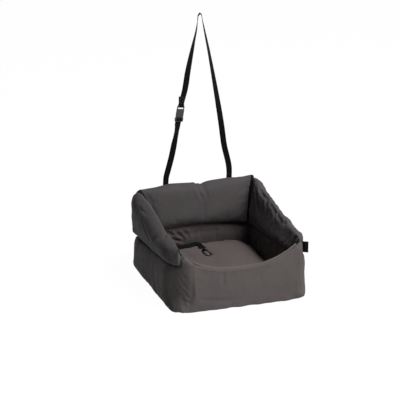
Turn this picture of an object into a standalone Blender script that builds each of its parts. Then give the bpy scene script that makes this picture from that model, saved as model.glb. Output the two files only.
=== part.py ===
"""Dog car seat: a padded open box with raised side and back bolsters and a low front, a loose cushion on a
stiff board, a hanging loop of webbing with a side-release buckle, and a short tether with a swivel snap hook.

Metres, +Z up, +Y towards the back of the seat. The origin is the centre of the underside.
"""

import math

import bmesh
import bpy
from mathutils import Matrix, Vector

for leftover in list(bpy.data.objects):
    bpy.data.objects.remove(leftover, do_unlink=True)

# Clearance between pieces that touch, and the width of the seam at each mitred corner.
GAP = 0.0003
SEAM_GAP = 0.0004

# Padded box.
BASE_WIDTH = 0.450
BASE_DEPTH = 0.474
CORNER_RADIUS = 0.036
BASE_INSET = 0.002
BASE_FABRIC_THICKNESS = 0.003
BASE_BOARD_THICKNESS = 0.004
BOARD_CLEARANCE = 0.003
WALL_THICKNESS = 0.038
WALL_PUFF = 0.011
CREASE_FRONT = 0.160
CREASE_BACK = 0.106
CREASE_ARCH = 0.026
RIM_LOW = 0.140
RIM_LOW_OFFSET = 0.018
RIM_LEFT_CURVE = 2.8
RIM_RIGHT_CURVE = 2.0
SIDE_FRONT_HEIGHT = 0.214
BACK_CORNER_HEIGHT = 0.276
BACK_CROWN_RISE = 0.012
CROWN_FULL_SHARE = 0.50
CROWN_END_SHARE = 0.82
SIDE_CROWN_RISE = 0.006
BOLSTER_RIDGE = 0.020
BOLSTER_OUTLINE = (
    (BOLSTER_RIDGE, 1.0),
    (0.0010, 0.955),
    (-0.0140, 0.80),
    (-0.0190, 0.56),
    (-0.0140, 0.27),
    (0.0010, 0.035),
    (0.0220, 0.0),
    (0.0410, 0.03),
    (0.0500, 0.15),
    (0.0470, 0.36),
    (0.0410, 0.60),
    (0.0330, 0.86),
)
SEAM_FULLNESS_SHARE = 0.85
END_EASE = 6
FRONT_FULLNESS_SHARE = 0.45
BLUNT_END = 0.024
BLUNT_START = 0.056
TAPER_SHARE = 0.88
FRONT_RIDGE = 0.006
FRONT_OUTLINE = (
    (FRONT_RIDGE, 1.0),
    (-0.0030, 0.975),
    (-0.0090, 0.85),
    (-0.0110, 0.50),
    (-0.0095, 0.15),
    (0.0000, 0.02),
    (0.0160, 0.0),
    (0.0330, 0.03),
    (0.0380, 0.20),
    (0.0370, 0.50),
    (0.0290, 0.80),
    (0.0160, 0.965),
)
PLEAT_OFFSET = 0.011
PLEAT_WIDTH = 0.010
PLEAT_DEPTH = 0.010
LEFT_DENT_Y = -0.065
RIGHT_DENT_Y = -0.015
DENT_WIDTH = 0.034
LEFT_DENT_DEPTH = 0.012
RIGHT_DENT_DEPTH = 0.007
WALL_SQUARENESS = 5
RING_POINTS = 24
BOLSTER_STATIONS = 18
FRONT_STATIONS = 18
SIDE_STATIONS = 16
BACK_STATIONS = 14
SETTLE_STEPS = 4

# Loose cushion.
CUSHION_CLEARANCE = 0.0025
CUSHION_CROWN = 0.080
CUSHION_EDGE = 0.034
CUSHION_DRAW_IN = 0.006
CUSHION_CUTS = 13
CUSHION_PLAN_SQUARENESS = 9
CUSHION_TOP_SQUARENESS = 3.2
CUSHION_UNDER_SQUARENESS = 7

# Trim.
PIPING_RADIUS = 0.0022
BACK_STAND_OFF = 0.0042
FRONT_STAND_OFF = 0.0034
PIPING_SIDES = 8
TRIM_STEPS = 2
RIGHT_NUB = 0.008
LEFT_NUB = 0.003
BACK_PIPING_LOW_SHARE = 0.14
FRONT_PIPING_LOW_SHARE = 0.50
HEM_END = 0.040
HEM_STEPS = 24
HEM_RADIUS = 0.0020
TAG_LENGTH = 0.014
TAG_HEIGHT = 0.038
TAG_THICKNESS = 0.0016
TAG_LOW = 0.163
TAG_TURN = math.radians(-30)
TAG_BEVEL = 0.0004
TAG_SEAM_PUFF = 0.0100

# Hanging loop of webbing.
WEBBING_WIDTH = 0.020
WEBBING_THICKNESS = 0.0017
WEBBING_EDGE = 0.0006
HINGE_STAND_OFF = 0.0140
HINGE_Z = 0.288
HINGE_CLEARANCE = 0.0002
APEX_LEAN = 0.0265
APEX_Z = 0.880
LOWER_LEG_X = (-0.1050, -0.1050, -0.0885, -0.0767, -0.0680)
LOWER_LEG_SHARES = (0, 0.039, 0.384, 0.603, 0.760)
UPPER_LEG_X = (-0.0346, -0.0133, -0.0010, 0.0028)
UPPER_LEG_SHARES = (0.6622, 0.826, 0.9088, 0.9696)
RIGHT_LEG_X = (0.0182, 0.0275, 0.0408, 0.0665, 0.0944, 0.1265, 0.1265)
RIGHT_LEG_SHARES = (0.9696, 0.897, 0.7956, 0.576, 0.3125, 0.0152, 0)
LOOP_TOP_X = (0.0048, 0.0105, 0.0162)
LOOP_TOP_SHARES = (0.9907, 0.9992, 0.9907)
LOWER_TURN_SHARES = (0.009, 0.314, 0.707, 0.891)
LOWER_TURN_DEGREES = (0, 12, 34, 4)
LEFT_TURN_SHARES = (0.5135, 0.6959, 0.7804, 0.8649, 0.9493)
LEFT_TURN_DEGREES = (4, 24, 36, 66, 88)
RIGHT_TURN_SHARES = (0.0034, 0.1216, 0.3074, 0.527, 0.7297, 0.9155, 0.9696)
RIGHT_TURN_DEGREES = (4, 18, 36, 46, 63, 76, 88)
LEG_STEPS = 7
APEX_STEPS = 4
LADDER_STEPS = 3
TAIL_LOW = 0.150
TAIL_STRAIGHT = 0.215
TAIL_STEPS = 8
TAIL_CLEARANCE = 0.0020

# Side-release buckle. Its own frame has Z up the webbing, Y to the back and its origin at the socket's mouth.
BUCKLE_X = -0.0587
BUCKLE_Z = 0.5170
BUCKLE_LEAN_SHARE = 0.15
BUCKLE_TURN = math.radians(4)
SLOT_CLEARANCE = 0.0004
POST_WIDTH = 0.0028
SHELL_DEPTH = 0.0090
SHELL_HEIGHT = 0.0290
SHELL_WALL = 0.0015
SHELL_BEVEL = 0.0018
HEAD_DEPTH = 0.0036
HEAD_BEVEL = 0.0007
SLOT_HEIGHT = 0.0082
BAR_HEIGHT = 0.0026
CAVITY_HEIGHT = 0.0265
WINDOW_LOW = 0.0080
WINDOW_HEIGHT = 0.0098
WINDOW_DEPTH = 0.0056
SHOULDER_WIDTH = 0.0300
SHOULDER_FOOT_WIDTH = 0.0272
SHOULDER_DEPTH = 0.0060
SHOULDER_SOLID = 0.0026
LADDER_SLOT = 0.0042
LADDER_BAR = 0.0024
LADDER_BAR_DEPTH = 0.0020
PLUG_BEVEL = 0.0008
GUIDE_WIDTH = 0.0070
GUIDE_DEPTH = 0.0026
GUIDE_HEIGHT = 0.0210
PRONG_X = 0.0088
PRONG_WIDTH = 0.0024
PRONG_DEPTH = 0.0042
PRONG_HEIGHT = 0.0174
BARB_REACH = 0.0136
BARB_LOW = 0.0084
BARB_ROUND = 0.0142
PRONG_BEVEL = 0.0004
FOLD_LENGTH = 0.0370
FOLD_SKEW = 0.0030
FOLD_END_SKEW = -0.0045
FOLD_CLOSE = 0.0090
FOLD_CLEARANCE = 0.0006
FOLD_STEPS = 12
PLY_GAP = 0.0003
LADDER_PATH = (
    (0.00220, -0.0225),
    (0.00220, -0.0148),
    (0.00180, -0.0126),
    (0.00000, -0.0112),
    (-0.00205, -0.0098),
    (-0.00225, -0.0080),
    (-0.00180, -0.0060),
    (0.00000, -0.00500),
    (0.00240, -0.00490),
    (0.00410, -0.00640),
    (0.00430, -0.0100),
    (0.00430, -0.0330),
)

# Tether and swivel snap hook. The hook lies along Y, its tip to the front.
TETHER_WIDTH = 0.020
TETHER_THICKNESS = 0.0015
ANCHOR_Y = 0.1430
ANCHOR_Z = 0.0985
ANCHOR_HEIGHT = 0.012
ANCHOR_WIDTH = 0.024
ANCHOR_PAD = 0.0016
ANCHOR_BEVEL = 0.0005
TETHER_START = 0.0018
TETHER_RUN = (
    (-0.165, 0.1445, 0.0930),
    (-0.135, 0.1470, 0.0870),
    (-0.095, 0.1510, 0.0840),
    (-0.062, 0.1550, 0.0835),
    (-0.042, 0.1545, 0.0836),
    (-0.0285, 0.1480, 0.0846),
)
TETHER_STRAIGHT = 0.009
TETHER_ROLL_SHARES = (0, 0.30, 0.70, 0.94)
TETHER_ROLL_DEGREES = (0, 58, 58, 0)
TETHER_STEPS = 5
TETHER_SEWN_LENGTH = 0.0260
PLY_CLOSE_SHARE = 0.45
HOOK_X = -0.0235
HOOK_Z = 0.0858
EYE_BAR_Y = 0.1010
EYE_WIRE_RADIUS = 0.0015
EYE_SHOULDER_Y = 0.0890
EYE_CORNER = 0.0022
EYE_NECK = 0.0040
EYE_WAIST_SHARE = 0.45
EYE_WAIST_DRAW = 0.0007
COLLAR_Y = 0.0840
COLLAR_RADIUS = 0.0046
COLLAR_LENGTH = 0.0100
BORE_CLEARANCE = 0.0004
POST_RADIUS = 0.0021
POST_HEAD_RADIUS = 0.0033
POST_HEAD_LENGTH = 0.0022
HEAD_ROOM = 0.0006
HOOK_RADIUS = 0.0026
SPINE_REACH = 0.0105
BEND_DROP = 0.0509
SPINE_PATH = (
    (0.0042, 0.0058),
    (0.0070, 0.0105),
    (0.0096, 0.0180),
    (SPINE_REACH, 0.0290),
    (SPINE_REACH, 0.0400),
)
NOSE_LENGTH = 0.0060
BEND_STEPS = 10
SPINE_STEPS = 2
LUG_START = (0.0030, 0.0065)
GATE_PIN_REACH = 0.0068
GATE_PIN_DROP = 0.0130
EAR_RADIUS = 0.0027
SLOT_REACH = 0.0045
POCKET_DROP = 0.0120
GATE_WIDTH = 0.0034
GATE_THICKNESS = 0.0026
GATE_KNUCKLE_RADIUS = 0.0024
GATE_PIN_RADIUS = 0.0008
PIN_CLEARANCE = 0.0003
GATE_BEVEL = 0.0005
ROUND_SIDES = 16
TUBE_SIDES = 10


def linear(channel):
    """An sRGB channel of 0 to 1 as linear light."""
    return channel / 12.92 if channel <= 0.04045 else ((channel + 0.055) / 1.055) ** 2.4


FABRIC = (0.345, 0.322, 0.310)
FABRIC_DARK = (0.220, 0.212, 0.208)
TRIM_BLACK = (0.055, 0.055, 0.058)
WEBBING_BLACK = (0.062, 0.062, 0.066)
PLASTIC_BLACK = (0.090, 0.090, 0.095)
HOOK_BLACK = (0.075, 0.075, 0.080)
BOARD_GREY = (0.160, 0.155, 0.150)
FABRIC_FINISH = (0.78, 0.0)
WEBBING_FINISH = (0.85, 0.0)
PLASTIC_FINISH = (0.38, 0.0)
HOOK_FINISH = (0.35, 0.9)


def finish(obj, colour, surface):
    """Gives the object its own material."""
    material = bpy.data.materials.new(obj.name + "_finish")
    material.use_nodes = True
    shader = material.node_tree.nodes["Principled BSDF"]
    shader.inputs["Base Color"].default_value = (*map(linear, colour), 1)
    shader.inputs["Roughness"].default_value = surface[0]
    shader.inputs["Metallic"].default_value = surface[1]
    obj.data.materials.clear()
    obj.data.materials.append(material)
    return obj


def mix(start, end, share):
    return start + (end - start) * share


def mesh_object(name, shape):
    """Turns a bmesh into an object with its faces pointing out."""
    bmesh.ops.recalc_face_normals(shape, faces=shape.faces)
    mesh = bpy.data.meshes.new(name)
    shape.to_mesh(mesh)
    shape.free()
    obj = bpy.data.objects.new(name, mesh)
    bpy.context.scene.collection.objects.link(obj)
    return obj


def loft(name, rings):
    """Closed skin over rings of equal point count, capped at both ends."""
    shape = bmesh.new()
    rows = [[shape.verts.new(point) for point in ring] for ring in rings]
    for row, following in zip(rows, rows[1:]):
        for index, corner in enumerate(row):
            after = (index + 1) % len(row)
            shape.faces.new((corner, row[after], following[after], following[index]))
    shape.faces.new(rows[0])
    shape.faces.new(rows[-1])
    return mesh_object(name, shape)


def tube_loop(name, rings):
    """Closed ring of tube: the last ring joins the first."""
    shape = bmesh.new()
    rows = [[shape.verts.new(point) for point in ring] for ring in rings]
    for row, following in zip(rows, rows[1:] + rows[:1]):
        for index, corner in enumerate(row):
            after = (index + 1) % len(row)
            shape.faces.new((corner, row[after], following[after], following[index]))
    return mesh_object(name, shape)


def block(name, low, high, bevel=0):
    """Box between two corners, with its edges rounded by bevel."""
    shape = bmesh.new()
    bmesh.ops.create_cube(shape, size=1)
    for vert in shape.verts:
        vert.co = Vector(mix(low[axis], high[axis], vert.co[axis] + 0.5) for axis in range(3))
    if bevel:
        bmesh.ops.bevel(
            shape, geom=shape.edges[:], offset=bevel, segments=2, affect="EDGES", profile=0.5, material=-1
        )
    return mesh_object(name, shape)


def prism(name, outline, low, high, axis, bevel=0):
    """Outline extruded along one axis (0, 1 or 2) between low and high, its edges rounded by bevel."""
    shape = bmesh.new()
    others = [index for index in range(3) if index != axis]
    verts = []
    for first, second in outline:
        point = Vector((0, 0, 0))
        point[axis] = low
        point[others[0]] = first
        point[others[1]] = second
        verts.append(shape.verts.new(point))
    face = shape.faces.new(verts)
    grown = bmesh.ops.extrude_face_region(shape, geom=[face])["geom"]
    for item in grown:
        if isinstance(item, bmesh.types.BMVert):
            item.co[axis] = high
    if bevel:
        bmesh.ops.bevel(
            shape, geom=shape.edges[:], offset=bevel, segments=2, affect="EDGES", profile=0.5, material=-1
        )
    return mesh_object(name, shape)


def rod(name, start, end, radius, sides=ROUND_SIDES):
    """Round bar between two points."""
    start = Vector(start)
    end = Vector(end)
    along = end - start
    turn = along.to_track_quat("Z", "Y").to_matrix().to_4x4()
    shape = bmesh.new()
    bmesh.ops.create_cone(
        shape,
        cap_ends=True,
        segments=sides,
        radius1=radius,
        radius2=radius,
        depth=along.length,
        matrix=Matrix.Translation((start + end) / 2) @ turn,
    )
    return mesh_object(name, shape)


def combined(base, steps):
    """Adds (UNION) or cuts (DIFFERENCE) the given solids in order, and leaves one plain mesh."""
    for operation, other in steps:
        modifier = base.modifiers.new(other.name, "BOOLEAN")
        modifier.operation = operation
        modifier.solver = "EXACT"
        modifier.object = other
    graph = bpy.context.evaluated_depsgraph_get()
    mesh = bpy.data.meshes.new_from_object(base.evaluated_get(graph))
    base.modifiers.clear()
    base.data = mesh
    for _, other in steps:
        bpy.data.objects.remove(other, do_unlink=True)
    return base


def placed(obj, matrix):
    obj.data.transform(matrix)
    return obj


def pivot(obj, point):
    """Moves the object's origin to a point of its joint's axis and leaves its shape where it is."""
    obj.data.transform(Matrix.Translation(-Vector(point)))
    obj.location = point
    return obj


def smooth_path(controls, steps):
    """Smooth curve through the control points, with the given number of steps between two of them."""
    controls = [Vector(point) for point in controls]
    runs = [after - before for before, after in zip(controls, controls[1:])]
    slopes = [runs[0].normalized()]
    for before, after in zip(runs, runs[1:]):
        near = before.length
        far = after.length
        slopes.append((before.normalized() * far + after.normalized() * near) / (near + far))
    slopes.append(runs[-1].normalized())
    path = []
    for start, end, run, leave, arrive in zip(controls, controls[1:], runs, slopes, slopes[1:]):
        for step in range(steps):
            share = step / steps
            rest = 1 - share
            place = start * (rest * rest * (1 + 2 * share)) + end * (share * share * (3 - 2 * share))
            bend = leave * (share * rest * rest) - arrive * (share * share * rest)
            path.append(place + bend * run.length)
    path.append(controls[-1])
    return path


def directions(path):
    """Unit tangent at each point of a path."""
    last = len(path) - 1
    return [(path[min(i + 1, last)] - path[max(i - 1, 0)]).normalized() for i in range(len(path))]


def ribbon(name, path, across, width, thickness):
    """Flat webbing along a path. across holds, for each point, the direction over the webbing's width."""
    rings = []
    half = width / 2
    flat = thickness / 2
    section = (
        (half, flat - WEBBING_EDGE),
        (half - WEBBING_EDGE, flat),
        (WEBBING_EDGE - half, flat),
        (-half, flat - WEBBING_EDGE),
        (-half, WEBBING_EDGE - flat),
        (WEBBING_EDGE - half, -flat),
        (half - WEBBING_EDGE, -flat),
        (half, WEBBING_EDGE - flat),
    )
    for point, tangent, wide in zip(path, directions(path), across):
        wide = (wide - tangent * wide.dot(tangent)).normalized()
        normal = tangent.cross(wide)
        rings.append([point + wide * over + normal * out for over, out in section])
    return loft(name, rings)


def tube(name, path, radius, sides=TUBE_SIDES, closed=False):
    """Round cord along a path, its end rings square to the path."""
    rings = []
    guide = None
    tangents = directions(path)
    if closed:
        count = len(path)
        tangents = [(path[(i + 1) % count] - path[i - 1]).normalized() for i in range(count)]
    for point, tangent in zip(path, tangents):
        if guide is None:
            guide = tangent.orthogonal()
        guide = (guide - tangent * guide.dot(tangent)).normalized()
        side = tangent.cross(guide)
        turns = [math.tau * step / sides for step in range(sides)]
        rings.append([point + (guide * math.cos(a) + side * math.sin(a)) * radius for a in turns])
    return tube_loop(name, rings) if closed else loft(name, rings)


def between(keys, place):
    """Value at a place from (place, value) keys in rising order, eased from each key to the next."""
    if place <= keys[0][0]:
        return keys[0][1]
    for (start, low), (end, high) in zip(keys, keys[1:]):
        if place <= end:
            share = (place - start) / (end - start)
            return mix(low, high, share * share * (3 - 2 * share))
    return keys[-1][1]


# Padded box.
HALF_WIDTH = BASE_WIDTH / 2
HALF_DEPTH = BASE_DEPTH / 2
FLOOR = BASE_FABRIC_THICKNESS + GAP


def rounded_corner(x, y):
    """Pulls the square corners of the plan in to their radius."""
    over_x = abs(x) - (HALF_WIDTH - CORNER_RADIUS)
    over_y = abs(y) - (HALF_DEPTH - CORNER_RADIUS)
    if over_x <= 0 or over_y <= 0:
        return x, y
    pull = 1 - max(over_x, over_y) / math.hypot(over_x, over_y)
    return math.copysign(abs(x) - over_x * pull, x), math.copysign(abs(y) - over_y * pull, y)


def superellipse(count, squareness):
    """Outline of -1 to 1 each way: an ellipse at squareness 2, near a rectangle at 6."""
    outline = []
    power = 2 / squareness
    for step in range(count):
        angle = math.tau * step / count
        over = math.cos(angle)
        up = math.sin(angle)
        outline.append((math.copysign(abs(over) ** power, over), math.copysign(abs(up) ** power, up)))
    return outline


def wall_outline():
    """Section of a lower wall as (distance inside the outer plane, share of the height)."""
    pairs = superellipse(RING_POINTS, WALL_SQUARENESS)
    return [(mix(-WALL_PUFF, WALL_THICKNESS, (1 + over) / 2), (1 + up) / 2) for over, up in pairs]


def rounded_outline(outline):
    """Smooth closed section through the corners of an outline, starting at its ridge."""
    corners = [Vector((inward, share, 0)) for inward, share in outline]
    count = len(corners)
    padded = [corners[(index - 1) % count] for index in range(count + 3)]
    curve = smooth_path(padded, RING_POINTS // count)
    start = RING_POINTS // count
    return [(point.x, min(max(point.y, 0), 1)) for point in curve[start : start + RING_POINTS]]


def seat_point(side, inward, along, height):
    """World point of a wall from its distance inside the outer plane and its place along the wall."""
    if side in ("left", "right"):
        x, y = rounded_corner(HALF_WIDTH - inward, along)
        return Vector((-x if side == "left" else x, y, height))
    x, y = rounded_corner(along, HALF_DEPTH - inward)
    return Vector((x, -y if side == "front" else y, height))


def panel_ring(side, outline, profile, place_share):
    """One section of a wall as (depth, along, height), its ends lying on the mitre planes."""
    half_length = HALF_DEPTH if side in ("left", "right") else HALF_WIDTH
    ring = []
    for inward, up in outline:
        along = place_share * half_length
        for _ in range(SETTLE_STEPS):
            full = profile(along)[2]
            depth = mix(BOLSTER_RIDGE, inward, full)
            along = place_share * (half_length - depth - SEAM_GAP / 2)
        bottom, top = profile(along)[:2]
        ring.append((depth, along, mix(bottom, top, up)))
    return ring


def panel(name, side, outline, profile, stations, details):
    """Stuffed wall between two mitred corners, with closer sections where its details lie."""
    shares = [-math.cos(math.pi * step / stations) for step in range(stations + 1)]
    rings = []
    for place_share in sorted((*shares, *details)):
        ring = panel_ring(side, outline, profile, place_share)
        rings.append([seat_point(side, *place) for place in ring])
    return loft(name, rings)


def notch(distance, width):
    """Smooth dip of 1 at distance 0."""
    return math.exp(-((distance / width) ** 2))


def side_crease(y):
    return mix(CREASE_FRONT, CREASE_BACK, (y + HALF_DEPTH) / BASE_DEPTH)


def back_crease(x):
    return CREASE_BACK + CREASE_ARCH * (1 - (x / HALF_WIDTH) ** 2)


def side_top(y):
    straight = mix(SIDE_FRONT_HEIGHT, BACK_CORNER_HEIGHT, (y + HALF_DEPTH) / BASE_DEPTH)
    return straight + SIDE_CROWN_RISE * (1 - (y / HALF_DEPTH) ** 2)


def back_top(x):
    """Two crowns with a pleat between them, level near the corners."""
    share = min(abs(x - PLEAT_OFFSET) / HALF_WIDTH, 1)
    crown = between(((CROWN_FULL_SHARE, BACK_CROWN_RISE), (CROWN_END_SHARE, 0)), share)
    return BACK_CORNER_HEIGHT + crown - PLEAT_DEPTH * notch(x - PLEAT_OFFSET, PLEAT_WIDTH)


def front_rim(x):
    """The front dips between its corners, its lowest place a little to the right."""
    left = x < RIM_LOW_OFFSET
    reach = HALF_WIDTH + RIM_LOW_OFFSET if left else HALF_WIDTH - RIM_LOW_OFFSET
    share = min(abs(x - RIM_LOW_OFFSET) / reach, 1)
    return mix(RIM_LOW, SIDE_FRONT_HEIGHT, share ** (RIM_LEFT_CURVE if left else RIM_RIGHT_CURVE))


def side_wall(y):
    return FLOOR, side_crease(y) - GAP / 2, 1


def back_wall(x):
    return FLOOR, back_crease(x) - GAP / 2, 1


def front_wall(x):
    return FLOOR, front_rim(x), 1


def side_bolster(y, dent_y, dent_depth):
    """Full along its length, drawn in at the seam behind, blunt in front with a flat gusset before it."""
    share = max(min(y / HALF_DEPTH, 1), -1)
    full = mix(1, SEAM_FULLNESS_SHARE, max(share, 0) ** END_EASE)
    full = mix(full, TAPER_SHARE, max(-share, 0) ** 2)
    ahead = between(((BLUNT_END - HALF_DEPTH, 1), (BLUNT_START - HALF_DEPTH, 0)), y)
    full = mix(full, FRONT_FULLNESS_SHARE, ahead)
    return side_crease(y) + GAP / 2, side_top(y) - dent_depth * notch(y - dent_y, DENT_WIDTH), full


def left_bolster(y):
    return side_bolster(y, LEFT_DENT_Y, LEFT_DENT_DEPTH)


def right_bolster(y):
    return side_bolster(y, RIGHT_DENT_Y, RIGHT_DENT_DEPTH)


def back_bolster(x):
    share = min(abs(x) / HALF_WIDTH, 1)
    return back_crease(x) + GAP / 2, back_top(x), mix(1, SEAM_FULLNESS_SHARE, share**END_EASE)


WALL_SECTION = wall_outline()
FRONT_SECTION = rounded_outline(FRONT_OUTLINE)
BOLSTER_SECTION = rounded_outline(BOLSTER_OUTLINE)
PLEAT_SHARES = [(PLEAT_OFFSET + side * PLEAT_WIDTH) / HALF_WIDTH for side in (-1, 0, 1)]
LEFT_DENT_SHARES = [LEFT_DENT_Y / HALF_DEPTH]
RIGHT_DENT_SHARES = [RIGHT_DENT_Y / HALF_DEPTH]
WALLS = (
    ("front_wall", "front", FRONT_SECTION, front_wall, FRONT_STATIONS, FABRIC),
    ("left_wall", "left", WALL_SECTION, side_wall, SIDE_STATIONS, FABRIC_DARK),
    ("right_wall", "right", WALL_SECTION, side_wall, SIDE_STATIONS, FABRIC_DARK),
    ("back_wall", "back", WALL_SECTION, back_wall, BACK_STATIONS, FABRIC),
)
BOLSTERS = (
    ("back_bolster", "back", back_bolster, PLEAT_SHARES),
    ("left_bolster", "left", left_bolster, LEFT_DENT_SHARES),
    ("right_bolster", "right", right_bolster, RIGHT_DENT_SHARES),
)
for node, side, section, profile, stations, colour in WALLS:
    finish(panel(node, side, section, profile, stations, ()), colour, FABRIC_FINISH)
for node, side, profile, details in BOLSTERS:
    wall = panel(node, side, BOLSTER_SECTION, profile, BOLSTER_STATIONS, details)
    finish(wall, FABRIC, FABRIC_FINISH)


# Floor of the box: a cloth under the walls and a stiff board on it.

def plan_outline(half_width, half_depth, radius, steps):
    """Rectangle with rounded corners."""
    outline = []
    for turn, sign_x, sign_y in ((0, 1, 1), (1, -1, 1), (2, -1, -1), (3, 1, -1)):
        for step in range(steps + 1):
            angle = math.pi / 2 * (turn + step / steps)
            x = sign_x * (half_width - radius) + radius * math.cos(angle)
            y = sign_y * (half_depth - radius) + radius * math.sin(angle)
            outline.append((x, y))
    return outline


WELL_HALF_WIDTH = HALF_WIDTH - WALL_THICKNESS
WELL_HALF_DEPTH = HALF_DEPTH - WALL_THICKNESS
BOARD_LOW = BASE_FABRIC_THICKNESS + GAP
BOARD_HIGH = BOARD_LOW + BASE_BOARD_THICKNESS
BOARD_RADIUS = 0.010
PLAN_STEPS = 6

cloth_plan = plan_outline(HALF_WIDTH - BASE_INSET, HALF_DEPTH - BASE_INSET, CORNER_RADIUS, PLAN_STEPS)
finish(prism("base_fabric", cloth_plan, 0, BASE_FABRIC_THICKNESS, 2), FABRIC_DARK, FABRIC_FINISH)
board_plan = plan_outline(
    WELL_HALF_WIDTH - BOARD_CLEARANCE, WELL_HALF_DEPTH - BOARD_CLEARANCE, BOARD_RADIUS, PLAN_STEPS
)
finish(prism("base_board", board_plan, BOARD_LOW, BOARD_HIGH, 2), BOARD_GREY, FABRIC_FINISH)


# Loose cushion.
CUSHION_LOW = BOARD_HIGH + GAP
CUSHION_MIDDLE = CUSHION_LOW + CUSHION_EDGE
CUSHION_HALF_WIDTH = WELL_HALF_WIDTH - CUSHION_CLEARANCE
CUSHION_HALF_DEPTH = WELL_HALF_DEPTH - CUSHION_CLEARANCE


def cushion_point(corner):
    """Maps a point of the 2-unit cube on to the cushion: square in plan, crowned on top, flatter below."""
    x, y, z = corner
    plan = (abs(x) ** CUSHION_PLAN_SQUARENESS + abs(y) ** CUSHION_PLAN_SQUARENESS) ** (
        1 / CUSHION_PLAN_SQUARENESS
    )
    power = CUSHION_TOP_SQUARENESS if z > 0 else CUSHION_UNDER_SQUARENESS
    size = (plan**power + abs(z) ** power) ** (1 / power)
    x, y, z = x / size, y / size, z / size
    wide = CUSHION_HALF_WIDTH - CUSHION_DRAW_IN * (1 - y * y)
    deep = CUSHION_HALF_DEPTH - CUSHION_DRAW_IN * (1 - x * x)
    tall = CUSHION_CROWN - CUSHION_MIDDLE if z > 0 else CUSHION_EDGE
    return Vector((x * wide, y * deep, CUSHION_MIDDLE + z * tall))


def cushion():
    shape = bmesh.new()
    bmesh.ops.create_cube(shape, size=2)
    bmesh.ops.subdivide_edges(shape, edges=shape.edges[:], cuts=CUSHION_CUTS, use_grid_fill=True)
    for vert in shape.verts:
        vert.co = cushion_point(vert.co)
    return mesh_object("cushion", shape)


finish(pivot(cushion(), (0, 0, CUSHION_LOW)), FABRIC, FABRIC_FINISH)


# Piping in the inner corners, hem along the front, and a sewn-in side tab.
def mitre_piping(name, side, profile, end, stand_off, low_share, nub):
    """Cord lying in the inner corner at one end of a wall, from a share of its height up over the ridge."""
    edge = [Vector((depth, height)) for depth, _, height in panel_ring(side, BOLSTER_SECTION, profile, end)]
    points = []
    for index in range(RING_POINTS):
        if BOLSTER_SECTION[-index][1] < low_share:
            break
        along = edge[1 - index] - edge[-1 - index]
        out = Vector((along.y, -along.x)).normalized()
        points.insert(0, edge[-index] + out * stand_off)
    if nub:
        points.append(points[-1] + Vector((-nub, nub)))
    path = []
    for depth, height in points:
        x, y = rounded_corner(HALF_WIDTH - depth, HALF_DEPTH - depth)
        path.append((-x if side == "left" else x, end * y, height))
    return tube(name, smooth_path(path, TRIM_STEPS), PIPING_RADIUS, PIPING_SIDES)


CORNER_PIPING = (
    ("back_left_piping", "left", left_bolster, 1, BACK_STAND_OFF, BACK_PIPING_LOW_SHARE, LEFT_NUB),
    ("back_right_piping", "right", right_bolster, 1, BACK_STAND_OFF, BACK_PIPING_LOW_SHARE, RIGHT_NUB),
    ("front_left_piping", "left", left_bolster, -1, FRONT_STAND_OFF, FRONT_PIPING_LOW_SHARE, 0),
    ("front_right_piping", "right", right_bolster, -1, FRONT_STAND_OFF, FRONT_PIPING_LOW_SHARE, 0),
)
for node, side, profile, end, stand_off, low_share, nub in CORNER_PIPING:
    cord = mitre_piping(node, side, profile, end, stand_off, low_share, nub)
    finish(cord, TRIM_BLACK, FABRIC_FINISH)


def front_hem():
    """Rolled hem resting on the crown of the front wall."""
    crown_y = FRONT_RIDGE - HALF_DEPTH
    reach = HALF_WIDTH - HEM_END
    lift = HEM_RADIUS + 2 * GAP
    path = []
    for step in range(HEM_STEPS + 1):
        x = mix(-reach, reach, step / HEM_STEPS)
        slope = (front_rim(x + GAP) - front_rim(x - GAP)) / (2 * GAP)
        up = Vector((-slope, 0, 1)).normalized()
        path.append(Vector((x, crown_y, front_rim(x))) + up * lift)
    return tube("front_hem", path, HEM_RADIUS, PIPING_SIDES)


finish(front_hem(), FABRIC, FABRIC_FINISH)

seam_reach = (CORNER_RADIUS + TAG_SEAM_PUFF) * math.sqrt(0.5) + GAP
tag = block("side_tag", (0, -TAG_THICKNESS / 2, 0), (TAG_LENGTH, TAG_THICKNESS / 2, TAG_HEIGHT), TAG_BEVEL)
tag_x = HALF_WIDTH - CORNER_RADIUS + seam_reach
tag_place = Vector((tag_x, CORNER_RADIUS - HALF_DEPTH - seam_reach, TAG_LOW))
placed(tag, Matrix.Translation(tag_place) @ Matrix.Rotation(TAG_TURN, 4, "Z"))
finish(tag, TRIM_BLACK, FABRIC_FINISH)


# Hanging loop: two tails sewn down the back, a lower leg, and an upper leg that runs over the top.
HALF_WEBBING = WEBBING_THICKNESS / 2
HINGE_Y = HALF_DEPTH + HINGE_STAND_OFF
APEX_Y = HINGE_Y - APEX_LEAN
LOOP_LOW = HINGE_Z + HINGE_CLEARANCE


def lean_y(z):
    return mix(HINGE_Y, APEX_Y, (z - HINGE_Z) / (APEX_Z - HINGE_Z))


def bolster_back_y(x, z):
    """Outer surface of the back bolster at a height."""
    bottom, top, full = back_bolster(x)
    outer = BOLSTER_SECTION[: RING_POINTS // 2]
    share = (z - bottom) / (top - bottom)
    for (above, high), (below, low) in zip(outer, outer[1:]):
        if share >= low:
            inward = mix(below, above, (share - low) / (high - low))
            return HALF_DEPTH - mix(BOLSTER_RIDGE, inward, full)
    return HALF_DEPTH


def strap_tail(name, x):
    """Webbing sewn to the back of the bolster, ending just under the fold line of the loop."""
    heights = [mix(TAIL_LOW, TAIL_STRAIGHT, step / TAIL_STEPS) for step in range(TAIL_STEPS + 1)]
    path = [Vector((x, bolster_back_y(x, z) + HALF_WEBBING + TAIL_CLEARANCE, z)) for z in heights]
    path.append(Vector((x, HINGE_Y, HINGE_Z - HINGE_CLEARANCE)))
    across = [Vector((1, 0, 0))] * len(path)
    return ribbon(name, path, across, WEBBING_WIDTH, WEBBING_THICKNESS)


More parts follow.
